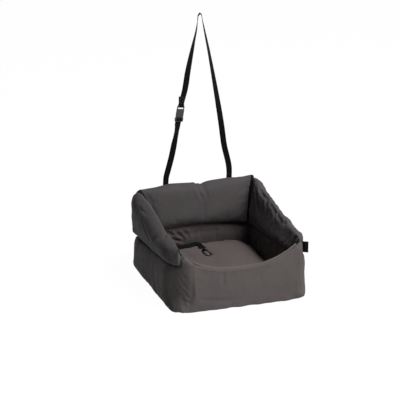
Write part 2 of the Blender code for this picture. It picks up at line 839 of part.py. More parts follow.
def leg_points(places, shares, top):
    """Points of the loop from their places across it and their shares of the height up to top."""
    heights = [mix(LOOP_LOW, top, share) for share in shares]
    return [Vector((x, lean_y(z), z)) for x, z in zip(places, heights)]


def turned(shares, degrees, top, z):
    """Direction over the webbing's width where it has turned on its way up."""
    keys = list(zip(shares, degrees))
    angle = math.radians(between(keys, (z - LOOP_LOW) / (top - LOOP_LOW)))
    return Vector((math.cos(angle), math.sin(angle), 0))


finish(strap_tail("strap_tail_left", LOWER_LEG_X[0]), WEBBING_BLACK, WEBBING_FINISH)
finish(strap_tail("strap_tail_right", RIGHT_LEG_X[-1]), WEBBING_BLACK, WEBBING_FINISH)

lean = (APEX_Y - HINGE_Y) / (APEX_Z - HINGE_Z)
buckle_up = Vector((BUCKLE_LEAN_SHARE, lean, 1)).normalized()
buckle_over = Vector((math.cos(BUCKLE_TURN), math.sin(BUCKLE_TURN), 0))
buckle_over = (buckle_over - buckle_up * buckle_over.dot(buckle_up)).normalized()
buckle_back = buckle_up.cross(buckle_over)
BUCKLE_FRAME = Matrix((buckle_over, buckle_back, buckle_up)).transposed().to_4x4()
BUCKLE_FRAME.translation = Vector((BUCKLE_X, lean_y(BUCKLE_Z), BUCKLE_Z))
HINGE_POINT = Vector((0, HINGE_Y, HINGE_Z))

leg = leg_points(LOWER_LEG_X, LOWER_LEG_SHARES, BUCKLE_Z)
ladder = [BUCKLE_FRAME @ Vector((0, back, up)) for back, up in LADDER_PATH]
leg_path = smooth_path([*leg, ladder[0]], LEG_STEPS)[:-1]
ladder_path = smooth_path(ladder, LADDER_STEPS)
across = [turned(LOWER_TURN_SHARES, LOWER_TURN_DEGREES, BUCKLE_Z, point.z) for point in leg_path]
across += [buckle_over] * len(ladder_path)
strap_lower = ribbon("strap_lower", leg_path + ladder_path, across, WEBBING_WIDTH, WEBBING_THICKNESS)
finish(pivot(strap_lower, HINGE_POINT), WEBBING_BLACK, WEBBING_FINISH)

bar_middle = SHELL_HEIGHT + SLOT_HEIGHT + BAR_HEIGHT / 2
bar_offset = HEAD_DEPTH / 2 + FOLD_CLEARANCE + HALF_WEBBING
ply_offset = HALF_WEBBING + PLY_GAP / 2
fold_top = bar_middle + FOLD_LENGTH
fold_close = bar_middle + FOLD_CLOSE
fold_middle = (fold_close + fold_top) / 2
fold_points = [
    (FOLD_END_SKEW, -ply_offset, fold_top),
    (FOLD_END_SKEW / 2, -ply_offset, fold_middle),
    (0, -ply_offset, fold_close),
]
for step in range(FOLD_STEPS + 1):
    angle = math.pi * step / FOLD_STEPS
    fold_points.append((0, -bar_offset * math.cos(angle), bar_middle - bar_offset * math.sin(angle)))
fold_points += [
    (0, ply_offset, fold_close),
    (FOLD_SKEW / 2, ply_offset, fold_middle),
    (FOLD_SKEW, ply_offset, fold_top),
]
fold_path = [BUCKLE_FRAME @ Vector(point) for point in fold_points]
strap_end_fold = ribbon(
    "strap_end_fold", fold_path, [buckle_over] * len(fold_path), WEBBING_WIDTH, WEBBING_THICKNESS
)
BUCKLE_POINT = BUCKLE_FRAME.translation.copy()
finish(pivot(strap_end_fold, BUCKLE_POINT), WEBBING_BLACK, WEBBING_FINISH)

fold_run = Vector(fold_points[-1]) - Vector(fold_points[-2])
strap_start = Vector(fold_points[-1]) + fold_run.normalized() * GAP
left_leg = [BUCKLE_FRAME @ strap_start, BUCKLE_FRAME @ (strap_start + fold_run)]
left_leg += leg_points(UPPER_LEG_X, UPPER_LEG_SHARES, APEX_Z)
loop_top = leg_points(LOOP_TOP_X, LOOP_TOP_SHARES, APEX_Z)
right_leg = leg_points(RIGHT_LEG_X, RIGHT_LEG_SHARES, APEX_Z)
left_path = smooth_path(left_leg, LEG_STEPS)
top_path = smooth_path([left_leg[-1], *loop_top, right_leg[0]], APEX_STEPS)[1:-1]
right_path = smooth_path(right_leg, LEG_STEPS)
across = [turned(LEFT_TURN_SHARES, LEFT_TURN_DEGREES, APEX_Z, point.z) for point in left_path]
across += [turned(LEFT_TURN_SHARES, LEFT_TURN_DEGREES, APEX_Z, APEX_Z)] * len(top_path)
across += [turned(RIGHT_TURN_SHARES, RIGHT_TURN_DEGREES, APEX_Z, point.z) for point in right_path]
strap_upper = ribbon(
    "strap_upper", left_path + top_path + right_path, across, WEBBING_WIDTH, WEBBING_THICKNESS
)
finish(pivot(strap_upper, HINGE_POINT), WEBBING_BLACK, WEBBING_FINISH)


# Side-release buckle.
slot_half = WEBBING_WIDTH / 2 + SLOT_CLEARANCE
shell_half = slot_half + POST_WIDTH
cavity_half = shell_half - SHELL_WALL
head_top = SHELL_HEIGHT + SLOT_HEIGHT + BAR_HEIGHT
head_foot = CAVITY_HEIGHT + SHELL_WALL / 2
overshoot = SHELL_DEPTH

half_shell = SHELL_DEPTH / 2
half_head = HEAD_DEPTH / 2
slot_top = SHELL_HEIGHT + SLOT_HEIGHT
shell_low = (-shell_half, -half_shell, 0)
shell_high = (shell_half, half_shell, SHELL_HEIGHT)
socket = block("buckle_socket", shell_low, shell_high, SHELL_BEVEL)
head = block("head", (-shell_half, -half_head, head_foot), (shell_half, half_head, head_top), HEAD_BEVEL)
slot = block("slot", (-slot_half, -overshoot, SHELL_HEIGHT), (slot_half, overshoot, slot_top))
cavity = block(
    "cavity",
    (-cavity_half, SHELL_WALL - SHELL_DEPTH / 2, -overshoot),
    (cavity_half, SHELL_DEPTH / 2 - SHELL_WALL, CAVITY_HEIGHT),
)
window = block(
    "window",
    (-shell_half - overshoot, -WINDOW_DEPTH / 2, WINDOW_LOW),
    (shell_half + overshoot, WINDOW_DEPTH / 2, WINDOW_LOW + WINDOW_HEIGHT),
)
combined(socket, [("UNION", head), ("DIFFERENCE", slot), ("DIFFERENCE", cavity), ("DIFFERENCE", window)])
placed(socket, BUCKLE_FRAME)
finish(pivot(socket, BUCKLE_POINT), PLASTIC_BLACK, PLASTIC_FINISH)

first_slot = -GAP - SHOULDER_SOLID
second_slot = first_slot - LADDER_SLOT - LADDER_BAR
plug_foot = second_slot - LADDER_SLOT - LADDER_BAR
half_shoulder = SHOULDER_WIDTH / 2
half_foot = SHOULDER_FOOT_WIDTH / 2
shoulder_outline = (
    (-half_foot, plug_foot),
    (half_foot, plug_foot),
    (half_shoulder, plug_foot + LADDER_SLOT),
    (half_shoulder, first_slot),
    (shell_half, -GAP),
    (-shell_half, -GAP),
    (-half_shoulder, first_slot),
    (-half_shoulder, plug_foot + LADDER_SLOT),
)
plug = prism("buckle_plug", shoulder_outline, -SHOULDER_DEPTH / 2, SHOULDER_DEPTH / 2, 1, PLUG_BEVEL)
guide = block(
    "guide",
    (-GUIDE_WIDTH / 2, -GUIDE_DEPTH / 2, first_slot),
    (GUIDE_WIDTH / 2, GUIDE_DEPTH / 2, GUIDE_HEIGHT),
    PRONG_BEVEL,
)
upper_slot = block(
    "upper_slot", (-slot_half, -overshoot, first_slot - LADDER_SLOT), (slot_half, overshoot, first_slot)
)
lower_slot = block(
    "lower_slot", (-slot_half, -overshoot, second_slot - LADDER_SLOT), (slot_half, overshoot, second_slot)
)
steps = [("UNION", guide), ("DIFFERENCE", upper_slot), ("DIFFERENCE", lower_slot)]
for name, face in (("front_relief", -1), ("back_relief", 1)):
    near = face * LADDER_BAR_DEPTH / 2
    far = face * overshoot
    relief = block(
        name, (-slot_half, min(near, far), plug_foot - overshoot), (slot_half, max(near, far), first_slot)
    )
    steps.append(("DIFFERENCE", relief))
combined(plug, steps)
placed(plug, BUCKLE_FRAME)
finish(pivot(plug, BUCKLE_POINT), PLASTIC_BLACK, PLASTIC_FINISH)

for name, hand in (("buckle_prong_left", -1), ("buckle_prong_right", 1)):
    near = PRONG_X - PRONG_WIDTH / 2
    far = PRONG_X + PRONG_WIDTH / 2
    outline = (
        (hand * near, GAP),
        (hand * far, GAP),
        (hand * far, BARB_LOW),
        (hand * BARB_REACH, BARB_LOW),
        (hand * BARB_REACH, BARB_ROUND),
        (hand * far, PRONG_HEIGHT),
        (hand * near, PRONG_HEIGHT),
    )
    prong = prism(name, outline, -PRONG_DEPTH / 2, PRONG_DEPTH / 2, 1, PRONG_BEVEL)
    placed(prong, BUCKLE_FRAME)
    finish(pivot(prong, BUCKLE_FRAME @ Vector((hand * PRONG_X, 0, 0))), PLASTIC_BLACK, PLASTIC_FINISH)


# Tether: a pad on the left wall, the webbing, and its end folded round the hook's eye.
WALL_FACE_X = -WELL_HALF_WIDTH
pad_face = WALL_FACE_X + GAP + ANCHOR_PAD
pad = block(
    "tether_anchor",
    (WALL_FACE_X + GAP, ANCHOR_Y - ANCHOR_WIDTH / 2, ANCHOR_Z - ANCHOR_HEIGHT / 2),
    (pad_face, ANCHOR_Y + ANCHOR_WIDTH / 2, ANCHOR_Z + ANCHOR_HEIGHT / 2),
    ANCHOR_BEVEL,
)
finish(pad, WEBBING_BLACK, WEBBING_FINISH)

TETHER_POINT = Vector((pad_face, ANCHOR_Y, ANCHOR_Z))
half_tether = TETHER_THICKNESS / 2
tether_ply = half_tether + PLY_GAP / 2
sewn_y = EYE_BAR_Y + TETHER_SEWN_LENGTH
tether_end = Vector((HOOK_X, sewn_y + GAP, HOOK_Z + tether_ply))
tether_start = TETHER_POINT + Vector((TETHER_START, 0, 0))
tether_straight = tether_end + Vector((0, TETHER_STRAIGHT, 0))
tether_path = smooth_path([tether_start, *TETHER_RUN, tether_straight, tether_end], TETHER_STEPS)
rolls = list(zip(TETHER_ROLL_SHARES, TETHER_ROLL_DEGREES))
across = []
for index, tangent in enumerate(directions(tether_path)):
    roll = math.radians(between(rolls, index / (len(tether_path) - 1)))
    level = Vector((-tangent.y, tangent.x, 0)).normalized()
    across.append(level * math.cos(roll) + Vector((0, 0, math.sin(roll))))
tether = ribbon("tether_webbing", tether_path, across, TETHER_WIDTH, TETHER_THICKNESS)
finish(pivot(tether, TETHER_POINT), WEBBING_BLACK, WEBBING_FINISH)

wire_offset = EYE_WIRE_RADIUS + GAP + half_tether
ply_close_y = mix(EYE_BAR_Y, sewn_y, PLY_CLOSE_SHARE)
bend_points = [(sewn_y, tether_ply), (ply_close_y, tether_ply)]
for step in range(FOLD_STEPS + 1):
    angle = math.pi * step / FOLD_STEPS
    bend_points.append((EYE_BAR_Y - wire_offset * math.sin(angle), wire_offset * math.cos(angle)))
bend_points += [(ply_close_y, -tether_ply), (sewn_y, -tether_ply)]
loop_path = [Vector((HOOK_X, y, HOOK_Z + z)) for y, z in bend_points]
end_loop = ribbon(
    "tether_end_loop", loop_path, [Vector((1, 0, 0))] * len(loop_path), TETHER_WIDTH, TETHER_THICKNESS
)
finish(pivot(end_loop, TETHER_POINT), WEBBING_BLACK, WEBBING_FINISH)


# Swivel snap hook.
def hook_point(reach, drop, up=0):
    """Place in the hook: reach towards the spine's side, drop from the collar towards the tip."""
    return Vector((HOOK_X - reach, COLLAR_Y - drop, HOOK_Z + up))


eye_half = TETHER_WIDTH / 2 + SLOT_CLEARANCE + EYE_WIRE_RADIUS
eye_waist = mix(EYE_SHOULDER_Y, EYE_BAR_Y, EYE_WAIST_SHARE)
eye_right = (
    (eye_half - EYE_CORNER, EYE_BAR_Y),
    (eye_half, EYE_BAR_Y - EYE_CORNER),
    (eye_half - EYE_WAIST_DRAW, eye_waist),
    (EYE_NECK, EYE_SHOULDER_Y),
)
eye_outline = [(x, y) for x, y in eye_right] + [(-x, y) for x, y in reversed(eye_right)]
eye_path = [Vector((HOOK_X + x, y, HOOK_Z)) for x, y in eye_outline]
eye = tube("hook_eye", eye_path, EYE_WIRE_RADIUS, closed=True)
head_drop = COLLAR_LENGTH + HEAD_ROOM
post_end = hook_point(0, head_drop + POST_HEAD_LENGTH / 2)
post = rod("post", (HOOK_X, EYE_SHOULDER_Y, HOOK_Z), post_end, POST_RADIUS)
cap = rod("cap", hook_point(0, head_drop), hook_point(0, head_drop + POST_HEAD_LENGTH), POST_HEAD_RADIUS)
combined(eye, [("UNION", post), ("UNION", cap)])
finish(pivot(eye, TETHER_POINT), HOOK_BLACK, HOOK_FINISH)

SWIVEL_POINT = hook_point(0, COLLAR_LENGTH / 2)
body = rod("hook_body", hook_point(0, 0), hook_point(0, COLLAR_LENGTH), COLLAR_RADIUS)
spine_points = [hook_point(reach, drop) for reach, drop in SPINE_PATH]
for step in range(BEND_STEPS + 1):
    angle = math.pi * step / BEND_STEPS
    spine_points.append(
        hook_point(SPINE_REACH * math.cos(angle), BEND_DROP + SPINE_REACH * math.sin(angle))
    )
spine_points.append(hook_point(-SPINE_REACH, BEND_DROP - NOSE_LENGTH))
spine = tube("spine", smooth_path(spine_points, SPINE_STEPS), HOOK_RADIUS)
pin_centre = hook_point(-GATE_PIN_REACH, GATE_PIN_DROP)
lug = rod("lug", hook_point(-LUG_START[0], LUG_START[1]), pin_centre, HOOK_RADIUS)
ear = rod(
    "ear",
    hook_point(-GATE_PIN_REACH, GATE_PIN_DROP, -HOOK_RADIUS),
    hook_point(-GATE_PIN_REACH, GATE_PIN_DROP, HOOK_RADIUS),
    EAR_RADIUS,
)
bore_radius = POST_RADIUS + BORE_CLEARANCE
bore = rod("bore", hook_point(0, -COLLAR_LENGTH), hook_point(0, 2 * COLLAR_LENGTH), bore_radius)
room = rod(
    "room",
    hook_point(0, COLLAR_LENGTH),
    hook_point(0, head_drop + POST_HEAD_LENGTH + HEAD_ROOM),
    POST_HEAD_RADIUS + HEAD_ROOM,
)
knuckle_half = GATE_THICKNESS / 2 + GAP
knuckle_room = GATE_KNUCKLE_RADIUS + 2 * GAP
pocket_low = hook_point(-GATE_PIN_REACH + knuckle_room, GATE_PIN_DROP + POCKET_DROP, -knuckle_half)
pocket_high = hook_point(-GATE_PIN_REACH - SLOT_REACH, GATE_PIN_DROP - knuckle_room, knuckle_half)
pocket = block("pocket", pocket_low, pocket_high)
pin_hole = rod(
    "pin_hole",
    hook_point(-GATE_PIN_REACH, GATE_PIN_DROP, -COLLAR_RADIUS),
    hook_point(-GATE_PIN_REACH, GATE_PIN_DROP, COLLAR_RADIUS),
    GATE_PIN_RADIUS + PIN_CLEARANCE,
)
combined(
    body,
    [
        ("UNION", spine),
        ("UNION", lug),
        ("UNION", ear),
        ("DIFFERENCE", bore),
        ("DIFFERENCE", room),
        ("DIFFERENCE", pocket),
        ("DIFFERENCE", pin_hole),
    ],
)
finish(pivot(body, SWIVEL_POINT), HOOK_BLACK, HOOK_FINISH)

pin_place = Vector((GATE_PIN_REACH, GATE_PIN_DROP))
nose_place = Vector((SPINE_REACH, BEND_DROP - NOSE_LENGTH - GAP))
gate_run = nose_place - pin_place
gate_side = Vector((gate_run.y, -gate_run.x)).normalized() * GATE_WIDTH / 2
corners = [pin_place - gate_side, pin_place + gate_side, nose_place + gate_side, nose_place - gate_side]
gate_outline = [hook_point(-corner.x, corner.y).to_2d() for corner in corners]
half_gate = GATE_THICKNESS / 2
gate = prism("hook_gate", gate_outline, HOOK_Z - half_gate, HOOK_Z + half_gate, 2, GATE_BEVEL)
knuckle = rod(
    "knuckle",
    hook_point(-GATE_PIN_REACH, GATE_PIN_DROP, -half_gate),
    hook_point(-GATE_PIN_REACH, GATE_PIN_DROP, half_gate),
    GATE_KNUCKLE_RADIUS,
)
gate_hole = rod(
    "gate_hole",
    hook_point(-GATE_PIN_REACH, GATE_PIN_DROP, -COLLAR_RADIUS),
    hook_point(-GATE_PIN_REACH, GATE_PIN_DROP, COLLAR_RADIUS),
    GATE_PIN_RADIUS + PIN_CLEARANCE,
)
combined(gate, [("UNION", knuckle), ("DIFFERENCE", gate_hole)])
finish(pivot(gate, pin_centre), HOOK_BLACK, HOOK_FINISH)

pin = rod(
    "hook_gate_pin",
    hook_point(-GATE_PIN_REACH, GATE_PIN_DROP, -HOOK_RADIUS),
    hook_point(-GATE_PIN_REACH, GATE_PIN_DROP, HOOK_RADIUS),
    GATE_PIN_RADIUS,
    TUBE_SIDES,
)
finish(pivot(pin, SWIVEL_POINT), HOOK_BLACK, HOOK_FINISH)
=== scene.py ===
import math

import bmesh
import bpy
import numpy as np
from mathutils import Matrix, Vector, noise
from mathutils.bvhtree import BVHTree


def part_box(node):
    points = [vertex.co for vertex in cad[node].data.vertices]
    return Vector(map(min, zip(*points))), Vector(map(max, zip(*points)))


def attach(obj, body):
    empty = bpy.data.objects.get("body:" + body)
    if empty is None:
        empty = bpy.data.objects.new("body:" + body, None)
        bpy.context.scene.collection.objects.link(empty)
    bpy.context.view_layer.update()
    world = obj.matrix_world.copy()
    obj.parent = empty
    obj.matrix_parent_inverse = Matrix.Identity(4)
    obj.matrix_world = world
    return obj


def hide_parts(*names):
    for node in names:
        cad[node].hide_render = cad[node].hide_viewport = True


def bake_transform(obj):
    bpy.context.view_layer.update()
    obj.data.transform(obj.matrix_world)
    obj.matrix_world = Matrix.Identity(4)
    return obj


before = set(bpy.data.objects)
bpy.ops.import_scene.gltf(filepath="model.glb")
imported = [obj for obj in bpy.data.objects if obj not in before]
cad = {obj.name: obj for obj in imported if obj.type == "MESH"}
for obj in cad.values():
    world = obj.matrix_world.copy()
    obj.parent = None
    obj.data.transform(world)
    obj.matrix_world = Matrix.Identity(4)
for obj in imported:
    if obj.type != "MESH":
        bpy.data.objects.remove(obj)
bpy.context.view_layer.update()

MM = 0.001

# Camera: seen from the front, a little to the left and above, from far away.
VIEW_TURN = math.radians(18.4)
VIEW_DROP = math.radians(19.9)
VIEW_DISTANCE = 7.0
VIEW_TARGET = Vector((-0.064, 0, 0.299))
VIEW_LENS = 188.06

# Light: a high soft key at the right, a low lamp for the front panel, and a little from all round.
LAMP_COLOUR = (1, 0.965, 0.955)
AROUND_COLOUR = (0.92, 1, 1, 1)
AROUND_STRENGTH = 0.042
FLOOR_COLOUR = (0.43, 0.47, 0.48, 1)
FLOOR_GLOW = 1.09
FLOOR_GLOW_SHARE = 0.90
WHITE = (1, 1, 1, 1)

# Box: half sizes, the heights of the seams between the lower walls and the bolsters, and the dipped front edge.
HALF_WIDTH = 0.225
HALF_DEPTH = 0.237
FLOOR = 0.0033
CREASE_FRONT = 0.160
CREASE_BACK = 0.106
CREASE_ARCH = 0.026
RIM_LOW = 0.140
RIM_OFFSET = 0.018
SIDE_FRONT_HEIGHT = 0.214
BACK_CORNER_HEIGHT = 0.276
FRONT_Y = -0.235
WELL_Y = 0.192
GROUND_GAP = 0.6 * MM
BASE_INSET = 0.012
BASE_MIDDLE = 1.2 * MM

# Pads. Each stands for CAD solids, is remeshed evenly, swollen as cloth and creased.
PADS = {
    "wall_panels": ("front_wall", "left_wall", "right_wall", "back_wall"),
    "back_pad": ("back_bolster",),
    "left_pad": ("left_bolster",),
    "right_pad": ("right_bolster",),
    "seat_cushion": ("cushion",),
}
# Pressure in the pad, slack in its cloth, the furthest that it swells, and how far a seam holds it.
SWELLS = {
    "wall_panels": (2.0, 0.02, 0.004, 0.020),
    "back_pad": (4.0, 0.03, 0.008, 0.016),
    "left_pad": (4.0, 0.02, 0.006, 0.016),
    "right_pad": (3.0, 0.02, 0.006, 0.016),
    "seat_cushion": (4.0, 0.03, 0.007, 0.001),
}
# Spacing of each pad's mesh. The walls' is wider, which keeps them under 200,000 triangles.
PAD_SPACING = 5.0 * MM
WALL_SPACING = {"wall_panels": 5.3 * MM}
SEWN_ANGLE = math.radians(50)
CLOTH_FRAMES = 20

# Sewn tapes and webbing. The webbing's width and thicknesses are the part's own.
HEM_HALF_HEIGHT = 3.4 * MM
HEM_HALF_DEPTH = 1.9 * MM
WEBBING_WIDTH = 20 * MM
STRAP_THICKNESS = 1.7 * MM
TETHER_THICKNESS = 1.5 * MM
TAIL_X = {"strap_tail_left": -0.1050, "strap_tail_right": 0.1265}
STITCH_PITCH = 5 * MM
WEBBING_STITCH_PITCH = 3 * MM

# Pattern sizes. The cloth's threads are about 0.5 mm apart and are drawn wider, so that they show.
CLOTH_THREAD = 1.6 * MM
WEBBING_RIB = 1.9 * MM
WEBBING_YARN = 1.25 * MM
WEBBING_HERRINGBONE = 2.5 * MM
BOARD_FLUTE = 4 * MM


def srgb(code):
    """A hex colour as linear light."""
    channels = [int(code[place : place + 2], 16) / 255 for place in (1, 3, 5)]
    return (*[c / 12.92 if c <= 0.04045 else ((c + 0.055) / 1.055) ** 2.4 for c in channels], 1)


def feed(tree, node, inputs):
    """Sets a node's inputs. Each is a value, or an output that is linked to it."""
    for name, value in inputs.items():
        if isinstance(value, bpy.types.NodeSocket):
            tree.links.new(value, node.inputs[name])
        else:
            node.inputs[name].default_value = value


def add_node(tree, kind, inputs=None, **settings):
    """Adds a node with its settings and inputs, and returns its outputs."""
    node = tree.nodes.new("ShaderNode" + kind)
    for name, value in settings.items():
        setattr(node, name, value)
    feed(tree, node, inputs or {})
    return node.outputs


def new_material(name):
    """A material with its node tree and its Principled shader."""
    material = bpy.data.materials.new(name)
    material.use_nodes = True
    tree = material.node_tree
    return material, tree, tree.nodes["Principled BSDF"]


def woven_cloth(name, light, dark, crumple=1.0, roughness=(0.55, 0.72)):
    """Polyester oxford with a coated back: a plain weave with a satin face that creases softly."""
    material, tree, shader = new_material(name)
    spot = add_node(tree, "TexCoord")
    place, facing = spot["Object"], spot["Normal"]
    phase = {0: place, 1: (math.tau / CLOTH_THREAD,) * 3}
    phase = add_node(tree, "VectorMath", phase, operation="MULTIPLY")[0]
    wave = add_node(tree, "VectorMath", {0: phase}, operation="SINE")[0]
    x, y, z = add_node(tree, "SeparateXYZ", {0: wave})
    pairs = [add_node(tree, "Math", {0: a, 1: b}, operation="MULTIPLY")[0] for a, b in ((y, z), (x, z), (x, y))]
    plies = add_node(tree, "CombineXYZ", dict(enumerate(pairs)))[0]
    facing = add_node(tree, "VectorMath", {0: facing, 1: facing}, operation="MULTIPLY")[0]
    weave = add_node(tree, "VectorMath", {0: plies, 1: facing}, operation="DOT_PRODUCT")["Value"]
    broad = add_node(tree, "TexNoise", {"Vector": place, "Scale": 1 / (70 * MM), "Detail": 2.0})[0]
    slub = add_node(tree, "TexNoise", {"Vector": place, "Scale": 1 / (6 * MM), "Detail": 4.0})[0]
    ripple = {"Vector": place, "Scale": 1 / (26 * MM), "Detail": 4.0, "Distortion": 0.8}
    ripple = add_node(tree, "TexNoise", ripple)[0]
    shade = add_node(tree, "Math", {0: slub, 1: 0.3}, operation="MULTIPLY")[0]
    shade = add_node(tree, "Math", {0: broad, 1: 0.7, 2: shade}, operation="MULTIPLY_ADD")[0]
    shade = add_node(tree, "Math", {0: weave, 1: 0.10, 2: shade}, operation="MULTIPLY_ADD")[0]
    fold = add_node(tree, "Bump", {"Strength": 0.35 * crumple, "Distance": 3.5 * MM, "Height": ripple})[0]
    threads = {"Strength": 0.28, "Distance": 0.25 * MM, "Height": weave, "Normal": fold}
    feed(tree, shader, {
        "Base Color": add_node(tree, "Mix", {0: shade, 6: srgb(dark), 7: srgb(light)}, data_type="RGBA")[2],
        "Roughness": add_node(tree, "MapRange", {0: slub, 3: roughness[0], 4: roughness[1]})[0],
        "Normal": add_node(tree, "Bump", threads)[0],
        "Sheen Weight": 0.02, "Sheen Roughness": 0.45, "Specular IOR Level": 0.04,
    })
    return material


def webbing_weave(name, light, dark):
    """Polypropylene webbing: thick ribs across it and a herringbone along it, matt with a faint shine."""
    material, tree, shader = new_material(name)
    place = add_node(tree, "UVMap", uv_map="strap")[0]
    across, along, _ = add_node(tree, "SeparateXYZ", {0: place})
    column = add_node(tree, "Math", {0: across, 1: WEBBING_HERRINGBONE}, operation="PINGPONG")[0]
    slant = add_node(tree, "Math", {0: along, 1: column}, operation="ADD")[0]
    rib, yarn = (
        add_node(tree, "Math", {0: run, 1: math.tau / pitch}, operation="MULTIPLY")[0]
        for run, pitch in ((slant, WEBBING_RIB), (across, WEBBING_YARN))
    )
    rib, yarn = (add_node(tree, "Math", {0: phase}, operation="SINE")[0] for phase in (rib, yarn))
    height = add_node(tree, "Math", {0: yarn, 1: 0.35, 2: rib}, operation="MULTIPLY_ADD")[0]
    fuzz = add_node(tree, "TexNoise", {"Vector": place, "Scale": 1 / (4 * MM), "Detail": 3.0})[0]
    share = add_node(tree, "Math", {0: height, 1: 0.22, 2: fuzz}, operation="MULTIPLY_ADD")[0]
    feed(tree, shader, {
        "Base Color": add_node(tree, "Mix", {0: share, 6: srgb(dark), 7: srgb(light)}, data_type="RGBA")[2],
        "Normal": add_node(tree, "Bump", {"Strength": 0.55, "Distance": 0.35 * MM, "Height": height})[0],
        "Roughness": 0.7, "Specular IOR Level": 0.06,
    })
    return material


def satin_finish_lighter_edges(name, light, dark, patch, grain, relief, edge_lightening, satin, **sockets):
    """Satin surface in soft patches, with a fine grain, and lighter on its sharp edges.

    patch and grain are size and detail, relief is strength and height, then come the patches' share of the
    colour, the bluntest and the sharpest lightened edge and the most lightening, and satin is the roughness from
    low to high.
    """
    material, tree, shader = new_material(name)
    place = add_node(tree, "TexCoord")["Object"]
    patch, grain = (
        add_node(tree, "TexNoise", {"Vector": place, "Scale": 1 / size, "Detail": detail})[0]
        for size, detail in (patch, grain)
    )
    edge = add_node(tree, "NewGeometry")["Pointiness"]
    patch_share, blunt, sharp, most = edge_lightening
    edge_lift = add_node(tree, "MapRange", {0: edge, 1: blunt, 2: sharp, 3: 0.0, 4: most})[0]
    share = add_node(tree, "Math", {0: patch, 1: patch_share, 2: edge_lift}, operation="MULTIPLY_ADD")[0]
    feed(tree, shader, {
        "Base Color": add_node(tree, "Mix", {0: share, 6: srgb(dark), 7: srgb(light)}, data_type="RGBA")[2],
        "Roughness": add_node(tree, "MapRange", {0: patch, 3: satin[0], 4: satin[1]})[0],
        "Normal": add_node(tree, "Bump", {"Strength": relief[0], "Distance": relief[1], "Height": grain})[0],
        **{socket.replace("_", " "): value for socket, value in sockets.items()},
    })
    return material


def fluted_board(name, light, dark):
    """Extruded polypropylene board: flat and dull, with flutes about 4 mm apart showing through its skin."""
    material, tree, shader = new_material(name)
    place = add_node(tree, "TexCoord")["Object"]
    across = add_node(tree, "SeparateXYZ", {0: place})[0]
    flute = add_node(tree, "Math", {0: across, 1: math.tau / BOARD_FLUTE}, operation="MULTIPLY")[0]
    flute = add_node(tree, "Math", {0: flute}, operation="SINE")[0]
    scuff = add_node(tree, "TexNoise", {"Vector": place, "Scale": 1 / (12 * MM), "Detail": 5.0})[0]
    share = add_node(tree, "Math", {0: flute, 1: 0.12, 2: scuff}, operation="MULTIPLY_ADD")[0]
    feed(tree, shader, {
        "Base Color": add_node(tree, "Mix", {0: share, 6: srgb(dark), 7: srgb(light)}, data_type="RGBA")[2],
        "Roughness": add_node(tree, "MapRange", {0: scuff, 3: 0.45, 4: 0.62})[0],
        "Normal": add_node(tree, "Bump", {"Strength": 0.3, "Distance": 0.2 * MM, "Height": flute})[0],
        "IOR": 1.49,
    })
    return material


def sewing_thread(name, colour, roughness):
    """Twisted polyester thread: small dull beads with a soft bloom on their edges."""
    material, tree, shader = new_material(name)
    feed(tree, shader, {"Base Color": srgb(colour), "Roughness": roughness, "Sheen Weight": 0.3})
    return material


BODY_CLOTH = woven_cloth("polyester_oxford_taupe", "#65605f", "#585352")
# The bolsters' cloth is the same taupe oxford painted darker and cooler: painted shade for the weaker light that
# falls on them.
BOLSTER_CLOTH_SHADED = woven_cloth("polyester_oxford_taupe_painted_shade", "#575455", "#4a4849")
# The seat cushion's cloth is the same taupe oxford painted lighter: painted light for the light that falls on
# the seat.
CUSHION_CLOTH_LIT = woven_cloth("polyester_oxford_taupe_painted_light", "#6a6463", "#5e5857")
# The hem roll's cloth is the same taupe oxford painted lighter: a painted highlight along the top of the front
# edge.
HEM_CLOTH_LIT = woven_cloth("polyester_hem_taupe_painted_highlight", "#6e6866", "#625c5a", crumple=0.4)
TRIM_CLOTH = woven_cloth("polyester_oxford_black", "#19191b", "#0f0f10", crumple=0.3)
BASE_CLOTH = woven_cloth("nonwoven_base_black", "#2a2827", "#1f1e1d", crumple=0.5, roughness=(0.75, 0.9))
WEBBING = webbing_weave("polypropylene_webbing_black", "#171718", "#090909")
# Acetal, injection moulded: black and satin, with a fine spark grain.
PLASTIC = satin_finish_lighter_edges(
    "acetal_moulded_black", "#242427", "#0d0d0e", patch=(9 * MM, 3), grain=(0.5 * MM, 2),
    relief=(0.18, 0.08 * MM), edge_lightening=(0.35, 0.52, 0.60, 0.6), satin=(0.30, 0.46),
    IOR=1.48, Specular_IOR_Level=0.55,
)
# Die-cast zinc, plated black: dark metal with soft highlights and brighter edges.
HOOK_METAL = satin_finish_lighter_edges(
    "zinc_plated_black", "#38383b", "#0e0e10", patch=(5 * MM, 4), grain=(5 * MM, 4),
    relief=(0.12, 0.1 * MM), edge_lightening=(0.3, 0.53, 0.62, 0.8), satin=(0.28, 0.44), Metallic=1.0,
)
BOARD = fluted_board("polypropylene_board_grey", "#3b3836", "#2c2a28")
THREAD = sewing_thread("polyester_thread_taupe", "#4a4542", 0.55)
THREAD_BLACK = sewing_thread("polyester_thread_black", "#2a2a2c", 0.5)
# The seat cushion takes the lighter copy of the cloth, which is painted light.
CLOTHS = {"wall_panels": BODY_CLOTH, "seat_cushion": CUSHION_CLOTH_LIT}


def keep(name, shape, material, smooth=True):
    """Turns a bmesh into an object with one material."""
    mesh = bpy.data.meshes.new(name)
    shape.to_mesh(mesh)
    shape.free()
    obj = bpy.data.objects.new(name, mesh)
    bpy.context.scene.collection.objects.link(obj)
    mesh.materials.append(material)
    for face in mesh.polygons:
        face.use_smooth = smooth
    return obj


